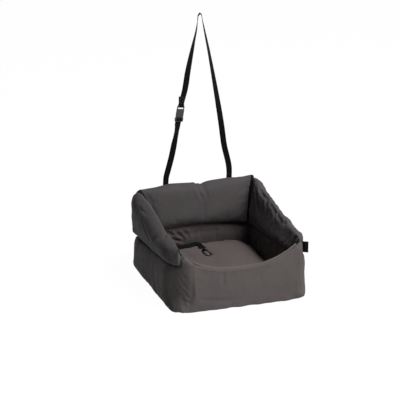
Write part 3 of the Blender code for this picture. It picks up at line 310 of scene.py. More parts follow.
def baked(obj, kind, **settings):
    """Adds a modifier with its settings and bakes it into the mesh."""
    modifier = obj.modifiers.new(kind.lower(), kind)
    for name, value in settings.items():
        setattr(modifier, name, value)
    graph = bpy.context.evaluated_depsgraph_get()
    mesh = bpy.data.meshes.new_from_object(obj.evaluated_get(graph))
    obj.modifiers.clear()
    obj.data = mesh
    for face in mesh.polygons:
        face.use_smooth = True
    return obj


def points_of(obj, kind="co"):
    """The mesh's points, one in each row, or their normals where kind says so."""
    places = np.empty(len(obj.data.vertices) * 3)
    obj.data.vertices.foreach_get(kind, places)
    return places.reshape(-1, 3)


def move_points(obj, places):
    """Puts the mesh's points in new places."""
    obj.data.vertices.foreach_set("co", places.ravel())
    obj.data.update()


def soft_copy(name, nodes, material, spacing):
    """Even, rounded copy of one or more CAD nodes' solids, ready to be swollen and creased."""
    shape = bmesh.new()
    for node in nodes:
        shape.from_mesh(cad[node].data)
    bmesh.ops.remove_doubles(shape, verts=shape.verts, dist=0.01 * MM)
    bmesh.ops.join_triangles(
        shape, faces=shape.faces, angle_face_threshold=math.radians(40), angle_shape_threshold=math.pi
    )
    firm = shape.edges.layers.float.new("crease_edge")
    for edge in shape.edges:
        if edge.calc_face_angle(0) > SEWN_ANGLE:
            edge[firm] = 1
    pad = keep(name, shape, material)
    baked(pad, "SUBSURF", levels=2, render_levels=2)
    baked(pad, "REMESH", mode="VOXEL", voxel_size=spacing)
    return baked(pad, "SMOOTH", factor=0.5, iterations=8)


def ramp(values, start, end):
    """0 up to the start, 1 from the end on, and straight between. The end may lie below the start."""
    return np.clip((values - start) / (end - start), 0, 1)


def side_crease(y):
    """Height of the seam between a side's lower wall and its bolster."""
    return np.interp(y, (-HALF_DEPTH, HALF_DEPTH), (CREASE_FRONT, CREASE_BACK))


def back_crease(x):
    """Height of the seam under the back bolster."""
    return CREASE_BACK + CREASE_ARCH * (1 - (x / HALF_WIDTH) ** 2)


def front_rim(x):
    """Height of the dipping front edge."""
    left = x < RIM_OFFSET
    share = np.minimum(np.abs(x - RIM_OFFSET) / (HALF_WIDTH + np.where(left, RIM_OFFSET, -RIM_OFFSET)), 1)
    return RIM_LOW + (SIDE_FRONT_HEIGHT - RIM_LOW) * share ** np.where(left, 2.8, 2.0)


def along_rim(low, high, drop, y):
    """Path below the front edge."""
    return [Vector((x, y, front_rim(x) - drop)) for x in np.linspace(low, high, 25)]


def sewn_share(places, reach):
    """1 on a sewn seam, falling to 0 at the given reach from it."""
    x, y, z = np.abs(places[:, 0]), np.abs(places[:, 1]), places[:, 2]
    corner = np.abs((HALF_WIDTH - x) - (HALF_DEPTH - y)) / math.sqrt(2)
    corner[(x < 0.13) | (y < 0.13)] = 1
    on_side = (HALF_WIDTH - x) < (HALF_DEPTH - y)
    crease = np.where(on_side, side_crease(places[:, 1]), back_crease(places[:, 0]))
    crease = np.abs(z - crease)
    crease[~on_side & (places[:, 1] < 0)] = 1
    foot = z - FLOOR
    gap = np.minimum(np.minimum(corner, crease), foot)
    return np.clip(1 - gap / reach, 0, 1)


def swell(pads):
    """Lets the pads swell as cloth over their filling, held at their seams, up to a cap."""
    scene = bpy.context.scene
    scene.frame_set(1)
    starts = {}
    for name, pad in pads.items():
        pressure, slack, cap, reach = SWELLS[name]
        starts[name] = points_of(pad).copy()
        group = pad.vertex_groups.new(name="sewn")
        for index, share in enumerate(sewn_share(starts[name], reach)):
            group.add([index], float(share), "REPLACE")
        cloth = pad.modifiers.new("cloth", "CLOTH")
        settings = cloth.settings
        settings.quality = 5
        settings.mass = 0.2
        settings.tension_stiffness = 12
        settings.compression_stiffness = 12
        settings.shear_stiffness = 4
        settings.bending_stiffness = 0.4
        settings.vertex_group_mass = "sewn"
        settings.shrink_min = -slack
        settings.use_pressure = True
        settings.uniform_pressure_force = pressure
        settings.effector_weights.gravity = 0
        cloth.point_cache.frame_end = CLOTH_FRAMES
    for frame_number in range(1, CLOTH_FRAMES + 1):
        scene.frame_set(frame_number)
    graph = bpy.context.evaluated_depsgraph_get()
    for name, pad in pads.items():
        cap = SWELLS[name][2]
        places = points_of(pad.evaluated_get(graph))
        moves = places - starts[name]
        lengths = np.maximum(np.linalg.norm(moves, axis=1, keepdims=True), 1e-9)
        pad.modifiers.clear()
        pad.vertex_groups.clear()
        move_points(pad, starts[name] + moves * (cap * np.tanh(lengths / cap) / lengths))
    scene.frame_set(1)


def nearest_on(path, places):
    """Distance of each place from a path, how far along it the nearest point lies, and the path's length."""
    near = np.full(len(places), np.inf)
    along = np.zeros(len(places))
    run = 0.0
    corners = [np.array(corner) for corner in path]
    for start, end in zip(corners, corners[1:]):
        step = end - start
        length = float(np.linalg.norm(step))
        share = np.clip((places - start) @ step / length**2, 0, 1)
        far = np.linalg.norm(places - start - share[:, None] * step, axis=1)
        closer = far < near
        near[closer] = far[closer]
        along[closer] = run + share[closer] * length
        run += length
    return near, along, run


def push_out(pad, amounts):
    """Moves each point of a pad along its normal."""
    move_points(pad, points_of(pad) + points_of(pad, "normal") * amounts[:, None])


def surface_of(*pieces):
    """Search tree of the pieces' faces."""
    shape = bmesh.new()
    for piece in pieces:
        shape.from_mesh(piece.data)
    tree = BVHTree.FromBMesh(shape)
    shape.free()
    return tree


def press(pad, path, width, depth, fade=True):
    """Presses a valley along a path into a pad, with a soft ridge on each side."""
    far, along, length = nearest_on(path, points_of(pad))
    far /= width
    ends = np.sin(math.pi * np.clip(along / length, 0.03, 0.97)) ** 0.6 if fade else 1
    valley = 0.4 * np.exp(-((far - 2) ** 2)) - np.exp(-(far**2))
    push_out(pad, depth * ends * np.where(far < 5, valley, 0))


def gather(pad, path, reach, pitch, depth, seed):
    """Small puckers square to a sewn edge, fading away from it."""
    far, along, _ = nearest_on(path, points_of(pad))
    drift = along / pitch + far / (5 * pitch)
    ripple = np.zeros(len(far))
    for index in np.nonzero(far < 4 * reach)[0]:
        ripple[index] = noise.noise(Vector((drift[index], seed, 0)))
    push_out(pad, depth * ripple * np.exp(-far / reach) * 2)


def rumple(pad, size, depth, seed):
    """Slack in the cloth: broad hollows that meet in softer ridges."""
    offset = Vector((seed, -seed, 2 * seed))
    push = []
    for place in points_of(pad):
        spot = Vector(place) / size + offset
        push.append(noise.noise(spot) + 0.5 * (0.3 - abs(noise.noise(spot * 1.9))))
    push_out(pad, depth * np.array(push))


def clear_of(pad, pieces, gap, blend):
    """Presses the pad's top down where other pieces lie on it."""
    above = surface_of(*pieces)
    places = points_of(pad)
    drop = np.zeros(len(places))
    for index, place in enumerate(places):
        if place[2] < 0.055:
            continue
        spot = Vector((place[0], place[1], 0))
        for aside in (0, -1, 1):
            for across in (0, -1, 1):
                start = spot + Vector((aside, across, 0)) * blend
                hit = above.ray_cast(start, Vector((0, 0, 1)))[0]
                if hit:
                    share = 1 if not (aside or across) else 0.6
                    drop[index] = max(drop[index], share * (place[2] - (hit.z - gap)))
    places[:, 2] -= np.maximum(drop, 0)
    move_points(pad, places)


# The next functions shape a pad as its filling and seams do in the photograph. Their distances are metres.
def slim(pad, side, front, back, outside, lower):
    """Narrows a side bolster's upper half by shares in front, behind and outside, and lowers its ridge."""
    places = points_of(pad)
    inward = HALF_WIDTH - side * places[:, 0]
    low = side_crease(places[:, 1])
    top = np.interp(places[:, 1], (-HALF_DEPTH, HALF_DEPTH), (SIDE_FRONT_HEIGHT, BACK_CORNER_HEIGHT))
    up = ramp((places[:, 2] - low) / (top - low), 0.25, 0.85)
    share = np.interp(places[:, 1], (-0.15, 0.12, 0.21), (front, back, 0)) * up * up * (3 - 2 * up)
    places[:, 0] += side * share * np.maximum(inward - 0.014, 0)
    hollow = up * np.interp(places[:, 1], (-0.21, -0.12, 0.14, 0.21), (0, 1, 1, 0))
    places[:, 0] -= side * outside * hollow * np.maximum(0.014 - inward, 0)
    places[:, 2] -= lower * hollow
    move_points(pad, places)


def reshape(pad, rule):
    """Moves a pad's points. The rule gives their new x, y and z from the old ones."""
    move_points(pad, np.stack(rule(*points_of(pad).T), axis=1))


def flat_front(x, y, z):
    """Draws the front panel flat up to its hem and turns its left end a little towards the side."""
    outer = ramp(y, -0.222, -0.232) * ramp(front_rim(x) - z, 0, 0.007)
    outer *= ramp(np.abs(x), 0.212, 0.190)
    plane = -0.2435 - 0.003 * np.exp(-(((z - 0.07) / 0.05) ** 2))
    y = y + 0.85 * outer * (plane - y)
    ahead = ramp(y, -0.15, -0.21)
    turn = np.interp(z, (0.04, 0.083, 0.138, 0.163, 0.20), (-0.166, -0.179, -0.192, -0.196, -0.189))
    slope = np.interp(z, (0, 0.04, 0.10, 0.20), (0.05, 0.36, 0.46, 0.38))
    past = turn - x
    past = np.where(past > 0.016, past, np.clip(past + 0.016, 0, 1) ** 2 / 0.064)
    drop = 0.8 * np.maximum(-0.186 - x, 0) * ramp(z, 0.15, 0.19) * ahead
    lean = 0.22 * np.maximum(-0.15 - y, 0) * ramp(z, 0, 0.06) * ramp(x, -0.16, -0.19)
    return x + lean, y + slope * past * ahead, z - drop


def plump(x, y, z):
    """Raises the middle of the seat cushion and rounds its right shoulder off."""
    top = ramp(z, 0.050, 0.075)
    bump = np.exp(-(((x - 0.070) / 0.070) ** 2) - ((y - 0.01) / 0.13) ** 2)
    shoulder = ramp(x, 0.085, 0.170) ** 2
    far = ramp(y, 0.10, 0.18) ** 2
    return x, y, z + top * (0.006 * bump - 0.019 * shoulder - 0.004 * far * shoulder)


def seam_level(x, y, z):
    """Brings the seam under the back roll to its height: higher at the left, lower at the right."""
    lift = np.interp(x, (-0.15, -0.02, 0.12, 0.16), (0.009, 0.004, -0.003, -0.004))
    inner = ramp(y, 0.222, 0.207) * ramp(y, 0.15, 0.17)
    return x, y, z + lift * inner * np.exp(-(((z - back_crease(x)) / 0.024) ** 2))


def under_tape(pad, x, line):
    """Draws the back in where a sewn tape runs down it."""
    places = points_of(pad)
    near = ramp(np.abs(places[:, 0] - x), 0.026, 0.012)
    heights, depths = zip(*((z, y) for y, z in line))
    over = np.maximum(places[:, 1] - np.interp(places[:, 2], heights, depths) + 1.1 * MM, 0)
    over *= (places[:, 1] > 0.2) & (places[:, 2] > heights[0] - 0.004) & (places[:, 2] < heights[-1] + 0.004)
    places[:, 1] -= over * near * near * (3 - 2 * near)
    move_points(pad, places)


def meet_rim(pad):
    """Raises the front panel's edge into its hem and returns the edge's places over the width."""
    places = points_of(pad)
    x, y, z = places.T
    stations = np.linspace(-0.204, 0.204, 52)
    front = y < -0.19
    edge = []
    for station in stations:
        near = places[front & (np.abs(x - station) < 0.006)]
        edge.append(near[np.argmax(near[:, 2])])
    even = np.ones(3) / 3
    depths = np.convolve(np.pad([place[1] for place in edge], 1, mode="edge"), even, "valid")
    top = np.interp(x, stations, [place[2] for place in edge])
    share = ramp(top - z, 0.030, 0) * ramp(np.abs(x), 0.212, 0.200)
    z = z + np.where(front, (front_rim(x) + 0.3 * MM - top) * share, 0)
    move_points(pad, np.stack((x, y, z), axis=1))
    return stations, depths


def square_foot(pad, reach, out, down):
    """Fills the lower outer edge of the box where it stands on its base."""
    places = points_of(pad)
    edge = np.maximum(np.abs(places[:, 0]) - (HALF_WIDTH - 0.045), np.abs(places[:, 1]) - (HALF_DEPTH - 0.045))
    outer = ramp(edge, 0, 0.040)
    low = ramp(places[:, 2], reach, 0) ** 1.5
    plan = places[:, :2] / np.linalg.norm(places[:, :2], axis=1, keepdims=True)
    places[:, :2] += plan * (out * outer * low)[:, None]
    places[:, 2] = np.maximum(places[:, 2] - down * outer * low, 1.2 * MM)
    move_points(pad, places)


def corner_tips(x, y, z):
    """Draws the back's upper corners out to where their bindings pull them: left sideways, right upwards."""
    tip = ramp(y, 0.12, 0.18) * ramp(z, 0.21, 0.27)
    left_tip = tip * ramp(x, -0.12, -0.18)
    right_tip = tip * ramp(x, 0.14, 0.19)
    return x - 0.010 * left_tip, y, z + 0.009 * right_tip


def taut_sides(pad):
    """Draws the puckers out of the side walls below their bolsters."""
    before = points_of(pad)
    x, y, z = before.T
    baked(pad, "SMOOTH", factor=0.5, iterations=14)
    out = ramp(np.abs(x), 0.208, 0.218) * ramp(np.abs(y), 0.225, 0.205)
    share = out * ramp(side_crease(y) - z, 0.006, 0.018) * ramp(z, 0, 0.02)
    move_points(pad, before + (points_of(pad) - before) * share[:, None])


def taller(x, y, z):
    """Raises the top of the back roll by 5 mm."""
    return x, y, z + 0.005 * ramp(z, 0.20, 0.28)


def above_floor(x, y, z):
    """Keeps a pad above the floor."""
    return x, y, np.maximum(z, GROUND_GAP)


def smooth_path(controls, steps):
    """Smooth curve through the control points, with the given number of steps between two of them."""
    controls = [Vector(point) for point in controls]
    runs = [after - before for before, after in zip(controls, controls[1:])]
    slopes = [runs[0].normalized()]
    for before, after in zip(runs, runs[1:]):
        near, far = before.length, after.length
        slopes.append((before.normalized() * far + after.normalized() * near) / (near + far))
    slopes.append(runs[-1].normalized())
    path = []
    for start, end, run, leave, arrive in zip(controls, controls[1:], runs, slopes, slopes[1:]):
        for step in range(steps):
            share = step / steps
            rest = 1 - share
            place = start * (rest * rest * (1 + 2 * share)) + end * (share * share * (3 - 2 * share))
            path.append(place + (leave * (share * rest * rest) - arrive * (share * share * rest)) * run.length)
    return [*path, controls[-1]]


def directions(path):
    """Unit tangent at each point of a path."""
    last = len(path) - 1
    return [(path[min(i + 1, last)] - path[max(i - 1, 0)]).normalized() for i in range(len(path))]


def sweep(name, path, across, section, material):
    """Closed section drawn along a path. across is the section's first axis, one for all or one for each point.

    Its UV map holds metres over the section and along the path.
    """
    if isinstance(across, Vector):
        across = [across] * len(path)
    shape = bmesh.new()
    chart = shape.loops.layers.uv.new("strap")
    end, spots, along = None, {}, 0.0
    for index, (point, tangent, wide) in enumerate(zip(path, directions(path), across)):
        wide = (wide - tangent * wide.dot(tangent)).normalized()
        normal = tangent.cross(wide)
        ring = [point + wide * over + normal * out for over, out in section]
        if end:
            along += (point - path[index - 1]).length
            grown = bmesh.ops.extrude_face_region(shape, geom=[end])["geom"]
            if index > 1:
                shape.faces.remove(end)
            end = next(part for part in grown if isinstance(part, bmesh.types.BMFace))
        else:
            end = shape.faces.new([shape.verts.new(place) for place in ring])
        for vert, place, (over, _) in zip(end.verts, ring, section):
            vert.co = place
            spots[vert] = (over, along)
    bmesh.ops.recalc_face_normals(shape, faces=shape.faces)
    for face in shape.faces:
        for loop in face.loops:
            loop[chart].uv = spots[loop.vert]
    return keep(name, shape, material)


def tape_section(width, thickness, cells=6):
    """Flat tape with rounded selvedges."""
    half, flat = width / 2, thickness / 2
    round_off = min(flat, half / 3)
    overs = [round_off - half + (2 * half - 2 * round_off) * cell / cells for cell in range(cells + 1)]
    top = [(over, flat) for over in overs]
    under = [(over, -flat) for over in reversed(overs)]
    return [(-half, flat / 2), *top, (half, flat / 2), (half, -flat / 2), *under, (-half, -flat / 2)]


def round_section(wide, tall, sides=12):
    """Ellipse."""
    turns = [math.tau * side / sides for side in range(sides)]
    return [(wide * math.cos(turn), tall * math.sin(turn)) for turn in turns]


def stitches(name, spots, material, length=2.8 * MM, radius=0.45 * MM):
    """Sewn row: one small bead of thread for each spot, given as its middle, direction and outward normal."""
    shape = bmesh.new()
    for middle, along, out in spots:
        along = (along - out * along.dot(out)).normalized()
        side = out.cross(along)
        for vert in bmesh.ops.create_uvsphere(shape, u_segments=5, v_segments=3, radius=1)["verts"]:
            x, y, z = vert.co
            if abs(z) > 0.9:
                vert.co = middle + along * (z * length / 2) - out * radius * 0.5
            else:
                ring = Vector((y, -x)).normalized() * radius
                centre = middle + along * math.copysign(0.32 * length, z) + out * radius * 0.3
                vert.co = centre + side * ring.x + out * ring.y
    bmesh.ops.recalc_face_normals(shape, faces=shape.faces)
    return keep(name, shape, material)


def sewn_row(path, pitch, pad=None, toward=None, lift=0.2 * MM):
    """Stitch spots along a path, laid on a pad where one is given, seen from the toward direction."""
    tree = None
    if pad:
        tree = BVHTree.FromPolygons([v.co for v in pad.data.vertices], [p.vertices for p in pad.data.polygons])
    spots, due = [], pitch / 2
    for start, end in zip(path, path[1:]):
        run = end - start
        while due < run.length:
            place, out = start + run.normalized() * due, toward
            if tree:
                hit, normal, _, _ = tree.ray_cast(place + toward * 0.03, -toward)
                if hit:
                    place, out = hit + normal * lift, normal
            spots.append((place, run.normalized(), out))
            due += pitch
        due -= run.length
    return spots


def lamp(name, place, aim, size, power):
    """Large soft lamp, a little warm."""
    light = bpy.data.objects.new(name, bpy.data.lights.new(name, "AREA"))
    light.data.color = LAMP_COLOUR
    light.data.size = size
    light.data.energy = power
    light.location = place
    light.rotation_euler = (Vector(aim) - Vector(place)).to_track_quat("-Z", "Y").to_euler()
    bpy.context.scene.collection.objects.link(light)


def looked_at(tree):
    """1 on the camera's rays and on those that gloss or glass sends on, and 0 on the light's."""
    seen = add_node(tree, "LightPath")
    clear = {0: seen["Is Camera Ray"], 1: seen["Is Transmission Ray"]}
    clear = add_node(tree, "Math", clear, operation="MAXIMUM")[0]
    return add_node(tree, "Math", {0: clear, 1: seen["Is Glossy Ray"]}, operation="MAXIMUM")[0]


def background():
    """Even light from all round, and plain white where the camera, gloss or glass looks past the object."""
    world = bpy.data.worlds.new("studio")
    bpy.context.scene.world = world
    world.use_nodes = True
    tree = world.node_tree
    tree.nodes.clear()
    clear = looked_at(tree)
    strength = add_node(tree, "MapRange", {0: clear, 3: AROUND_STRENGTH, 4: 1.0})[0]
    tint = add_node(tree, "Mix", {0: clear, 6: AROUND_COLOUR, 7: WHITE}, data_type="RGBA")[2]
    light = add_node(tree, "Background", {"Color": tint, "Strength": strength})[0]
    add_node(tree, "OutputWorld", {"Surface": light})


def studio_floor():
    """Pale floor that keeps the object's shadow."""
    shape = bmesh.new()
    bmesh.ops.create_grid(shape, x_segments=1, y_segments=1, size=20)
    material, tree, _ = new_material("painted_floor_white")
    tree.nodes.clear()
    share = add_node(tree, "Math", {0: looked_at(tree), 1: FLOOR_GLOW_SHARE}, operation="MULTIPLY")[0]
    paint = add_node(tree, "BsdfDiffuse", {"Color": FLOOR_COLOUR})[0]
    glow = add_node(tree, "Emission", {"Color": WHITE, "Strength": FLOOR_GLOW})[0]
    both = add_node(tree, "MixShader", {0: share, 1: paint, 2: glow})[0]
    add_node(tree, "OutputMaterial", {"Surface": both})
    floor = keep("floor", shape, material, smooth=False)


def laid(path, lift):
    """Brings a path down to the pads where it stands clear of them."""
    route = []
    for point in smooth_path(path, 6):
        spot, normal, _, _ = skin.find_nearest(point)
        route.append(spot + normal * lift if (point - spot).dot(normal) > lift else point)
    return route


def dressed(obj, body, slot_name, *nodes):
    """Puts a finished piece on its body and in place of its CAD nodes."""
    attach(obj, body)
    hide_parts(*nodes)
    return obj


def base_cloth():
    """Thin cloth under the box, a little slack."""
    shape = bmesh.new()
    bmesh.ops.create_grid(shape, x_segments=60, y_segments=60, size=1)
    for vert in shape.verts:
        x, y = vert.co.x, vert.co.y
        pull = (abs(x) ** 14 + abs(y) ** 14) ** (1 / 14) if x or y else 1
        size = max(abs(x), abs(y), 1e-9) / pull
        vert.co.x = x * size * (HALF_WIDTH - BASE_INSET)
        vert.co.y = y * size * (HALF_DEPTH - BASE_INSET)
        vert.co.z = BASE_MIDDLE + 0.5 * MM * noise.noise(vert.co * 18)
    cloth = keep("base_cloth", shape, BASE_CLOTH)
    return baked(cloth, "SOLIDIFY", thickness=0.8 * MM, offset=0)


def box_and_cross(width, low, high, inset):
    """Corners of a sewn box with a cross in it, as closed runs over a webbing's width and length."""
    half = width / 2 - inset
    corners = [(-half, low), (half, low), (half, high), (-half, high), (-half, low), (half, high)]
    return [corners, [(half, low), (-half, high)]]


# Camera and light.
camera = bpy.data.objects.new("camera", bpy.data.cameras.new("camera"))
bpy.context.scene.collection.objects.link(camera)
bpy.context.scene.camera = camera
gaze = Vector(
    (math.sin(VIEW_TURN) * math.cos(VIEW_DROP), math.cos(VIEW_TURN) * math.cos(VIEW_DROP), -math.sin(VIEW_DROP))
)
camera.location = VIEW_TARGET - gaze * VIEW_DISTANCE
camera.rotation_euler = gaze.to_track_quat("-Z", "Y").to_euler()
camera.data.sensor_width = 36
camera.data.lens = VIEW_LENS
camera.data.clip_end = 100

bpy.context.scene.view_settings.view_transform = "Standard"
lamp("key", place=(1.32, -0.99, 3.0), aim=(0, 0, 0.15), size=2.4, power=116)
lamp("front", place=(0.45, -2.4, 0.25), aim=(0, FRONT_Y, 0.12), size=0.5, power=22)
background()
studio_floor()

# Seams of the box, as paths. The two ridges run along the tops of the side bolsters.
SIDE_RUN = np.linspace(-0.215, 0.215, 12)
BACK_RUN = np.linspace(-0.185, 0.185, 12)
LEFT_OUTER_SEAM = [(-HALF_WIDTH, y, float(side_crease(y))) for y in SIDE_RUN]
RIGHT_OUTER_SEAM = [(HALF_WIDTH, y, float(side_crease(y))) for y in SIDE_RUN]
BACK_INNER_SEAM = [(x, WELL_Y, float(back_crease(x))) for x in BACK_RUN]
BACK_OUTER_SEAM = [(x, HALF_DEPTH, float(back_crease(x))) for x in BACK_RUN]
RIGHT_RIDGE = [
    (0.205, 0.205, 0.277), (0.206, 0.1, 0.262), (0.206, 0, 0.248), (0.205, -0.12, 0.233), (0.203, -0.21, 0.216),
]
LEFT_RIDGE = [(-x, y, z) for x, y, z in RIGHT_RIDGE]
BACK_LEFT_CORNER = [
    (-0.1719, 0.1839, 0.1359), (-0.1780, 0.1897, 0.1891), (-0.1940, 0.2007, 0.2512), (-0.2110, 0.2136, 0.2814),
]
BACK_RIGHT_CORNER = [
    (0.1719, 0.1839, 0.1359), (0.1777, 0.1897, 0.1891), (0.1887, 0.2007, 0.2560), (0.1990, 0.2111, 0.2910),
]
FRONT_RIGHT_CORNER = [
    (0.1895, -0.2015, 0.190), (0.1938, -0.2058, 0.211), (0.1965, -0.2085, 0.2175), (0.2030, -0.2150, 0.2225),
]
FRONT_LEFT_CORNER = [(-x, y, z) for x, y, z in FRONT_RIGHT_CORNER]
FOOT = [
    (-0.228, 0.236, 0.006), (-0.229, -0.18, 0.006), (-0.21, -0.243, 0.006), (0.21, -0.243, 0.006),
    (0.232, -0.2, 0.006), (0.228, 0.236, 0.006),
]
FRONT_LEFT_FOOT = [(-0.232, -0.205, 0.012), (-0.224, -0.236, 0.012), (-0.19, -0.243, 0.012)]

# Padded walls, bolsters and the loose cushion.
# The bolsters get the darker copy of the cloth, which is painted shade.
pads = {
    name: soft_copy(name, nodes, CLOTHS.get(name, BOLSTER_CLOTH_SHADED), WALL_SPACING.get(name, PAD_SPACING))
    for name, nodes in PADS.items()
}
swell(pads)
walls, left, right, back, seat = (
    pads[name] for name in ("wall_panels", "left_pad", "right_pad", "back_pad", "seat_cushion")
)
slim(left, -1, front=0.60, back=0.35, outside=0, lower=0)
slim(right, 1, front=0.35, back=0.25, outside=0.35, lower=0.004)
square_foot(walls, reach=0.050, out=0.009, down=0.008)
reshape(walls, flat_front)
reshape(seat, plump)
taut_sides(walls)
reshape(walls, seam_level)
for pad in (back, left, right):
    reshape(pad, corner_tips)
reshape(back, seam_level)
reshape(back, taller)

# Tether: from its patch on the left wall, over the cushion, to the fold round the hook's eye.
TETHER_RUN = (
    (-0.1833, 0.1430, 0.0985), (-0.1650, 0.1400, 0.0915), (-0.1350, 0.1340, 0.0845), (-0.1000, 0.1300, 0.0815),
    (-0.0700, 0.1320, 0.0815), (-0.0450, 0.1390, 0.0828), (-0.0300, 0.1425, 0.0848), (-0.0235, 0.1363, 0.0867),
    (-0.0235, 0.1273, 0.0867),
)
TETHER_ROLLS = ((0, 0.25, 0.6, 0.9), (0, 50, 46, 0))
tether_path = smooth_path(TETHER_RUN, 6)
over = []
for index, tangent in enumerate(directions(tether_path)):
    roll = math.radians(float(np.interp(index / (len(tether_path) - 1), *TETHER_ROLLS)))
    level = Vector((-tangent.y, tangent.x, 0)).normalized()
    over.append(level * math.cos(roll) + Vector((0, 0, math.sin(roll))))
TETHER = tape_section(WEBBING_WIDTH, TETHER_THICKNESS)
tether = sweep("tether_tape", tether_path, over, TETHER, WEBBING)

HALF_TURN = np.linspace(0, math.pi, 13)
EYE_BAR = Vector((-0.0235, 0.1010, 0.0858))
FOLD_RADIUS = 2.55 * MM
FOLD_PLY = 0.9 * MM
FOLD_CLOSED = 11.7 * MM
FOLD_END = 26.0 * MM
fold = [(FOLD_END, FOLD_PLY), (FOLD_CLOSED, FOLD_PLY)]
fold += [(-FOLD_RADIUS * math.sin(turn), FOLD_RADIUS * math.cos(turn)) for turn in HALF_TURN]
fold += [(FOLD_CLOSED, -FOLD_PLY), (FOLD_END, -FOLD_PLY)]
fold_path = [EYE_BAR + Vector((0, out, up)) for out, up in fold]
tether_fold = sweep("tether_end_fold", fold_path, Vector((1, 0, 0)), TETHER, WEBBING)

low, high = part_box("tether_anchor")
middle_x, middle_y = (low[0] + high[0]) / 2, (low[1] + high[1]) / 2
patch_path = [Vector((middle_x, middle_y, z)) for z in np.linspace(low[2], high[2], 9)]
PATCH = tape_section(high[1] - low[1], high[0] - low[0])
patch = sweep("tether_anchor_patch", patch_path, Vector((0, 1, 0)), PATCH, WEBBING)

hook_nodes = [cad[node] for node in ("hook_eye", "hook_body", "hook_gate")]
clear_of(seat, [tether, tether_fold, *hook_nodes], gap=0.6 * MM, blend=4 * MM)
baked(seat, "SMOOTH", factor=0.4, iterations=2)

for pad in pads.values():
    baked(pad, "SUBSURF", levels=1, render_levels=1)

# Slack in the cloth: the pad, then the hollows' size in metres, their depth in millimetres and their seed.
for pad, size, depth, seed in (
    (walls, 0.085, 2.2, 3.1),
    (left, 0.080, 2.5, 7.7),
    (right, 0.060, 3.0, 5.2),
    (back, 0.110, 2.2, 9.4),
    (seat, 0.090, 2.0, 1.6),
):
    rumple(pad, size, depth * MM, seed)

# Puckers at the seams: the pad and the seam, then reach and pitch in metres, depth in millimetres and seed.
for pad, seam, reach, pitch, depth, seed in (
    (walls, LEFT_OUTER_SEAM, 0.014, 0.016, 0.4, 1),
    (left, LEFT_OUTER_SEAM, 0.016, 0.012, 1.4, 2),
    (walls, RIGHT_OUTER_SEAM, 0.014, 0.011, 1.2, 3),
    (right, RIGHT_OUTER_SEAM, 0.016, 0.012, 1.4, 4),
    (back, BACK_INNER_SEAM, 0.014, 0.014, 1.0, 5),
    (walls, BACK_INNER_SEAM, 0.012, 0.014, 1.0, 6),
    (walls, BACK_OUTER_SEAM, 0.014, 0.012, 1.2, 7),
    (back, BACK_OUTER_SEAM, 0.014, 0.012, 1.2, 8),
    (right, RIGHT_RIDGE, 0.030, 0.017, 4.0, 9),
    (right, RIGHT_RIDGE, 0.045, 0.050, 2.6, 19),
    (right, RIGHT_RIDGE, 0.026, 0.009, 1.3, 20),
    (left, LEFT_RIDGE, 0.020, 0.020, 0.9, 10),
    (left, BACK_LEFT_CORNER, 0.018, 0.012, 1.2, 11),
    (back, BACK_LEFT_CORNER, 0.018, 0.012, 1.0, 12),
    (right, BACK_RIGHT_CORNER, 0.018, 0.012, 1.4, 13),
    (back, BACK_RIGHT_CORNER, 0.018, 0.012, 1.0, 14),
    (walls, FRONT_LEFT_FOOT, 0.045, 0.018, 1.6, 15),
    (walls, FOOT, 0.014, 0.032, 1.5, 16),
):
    gather(pad, seam, reach, pitch, depth * MM, seed)

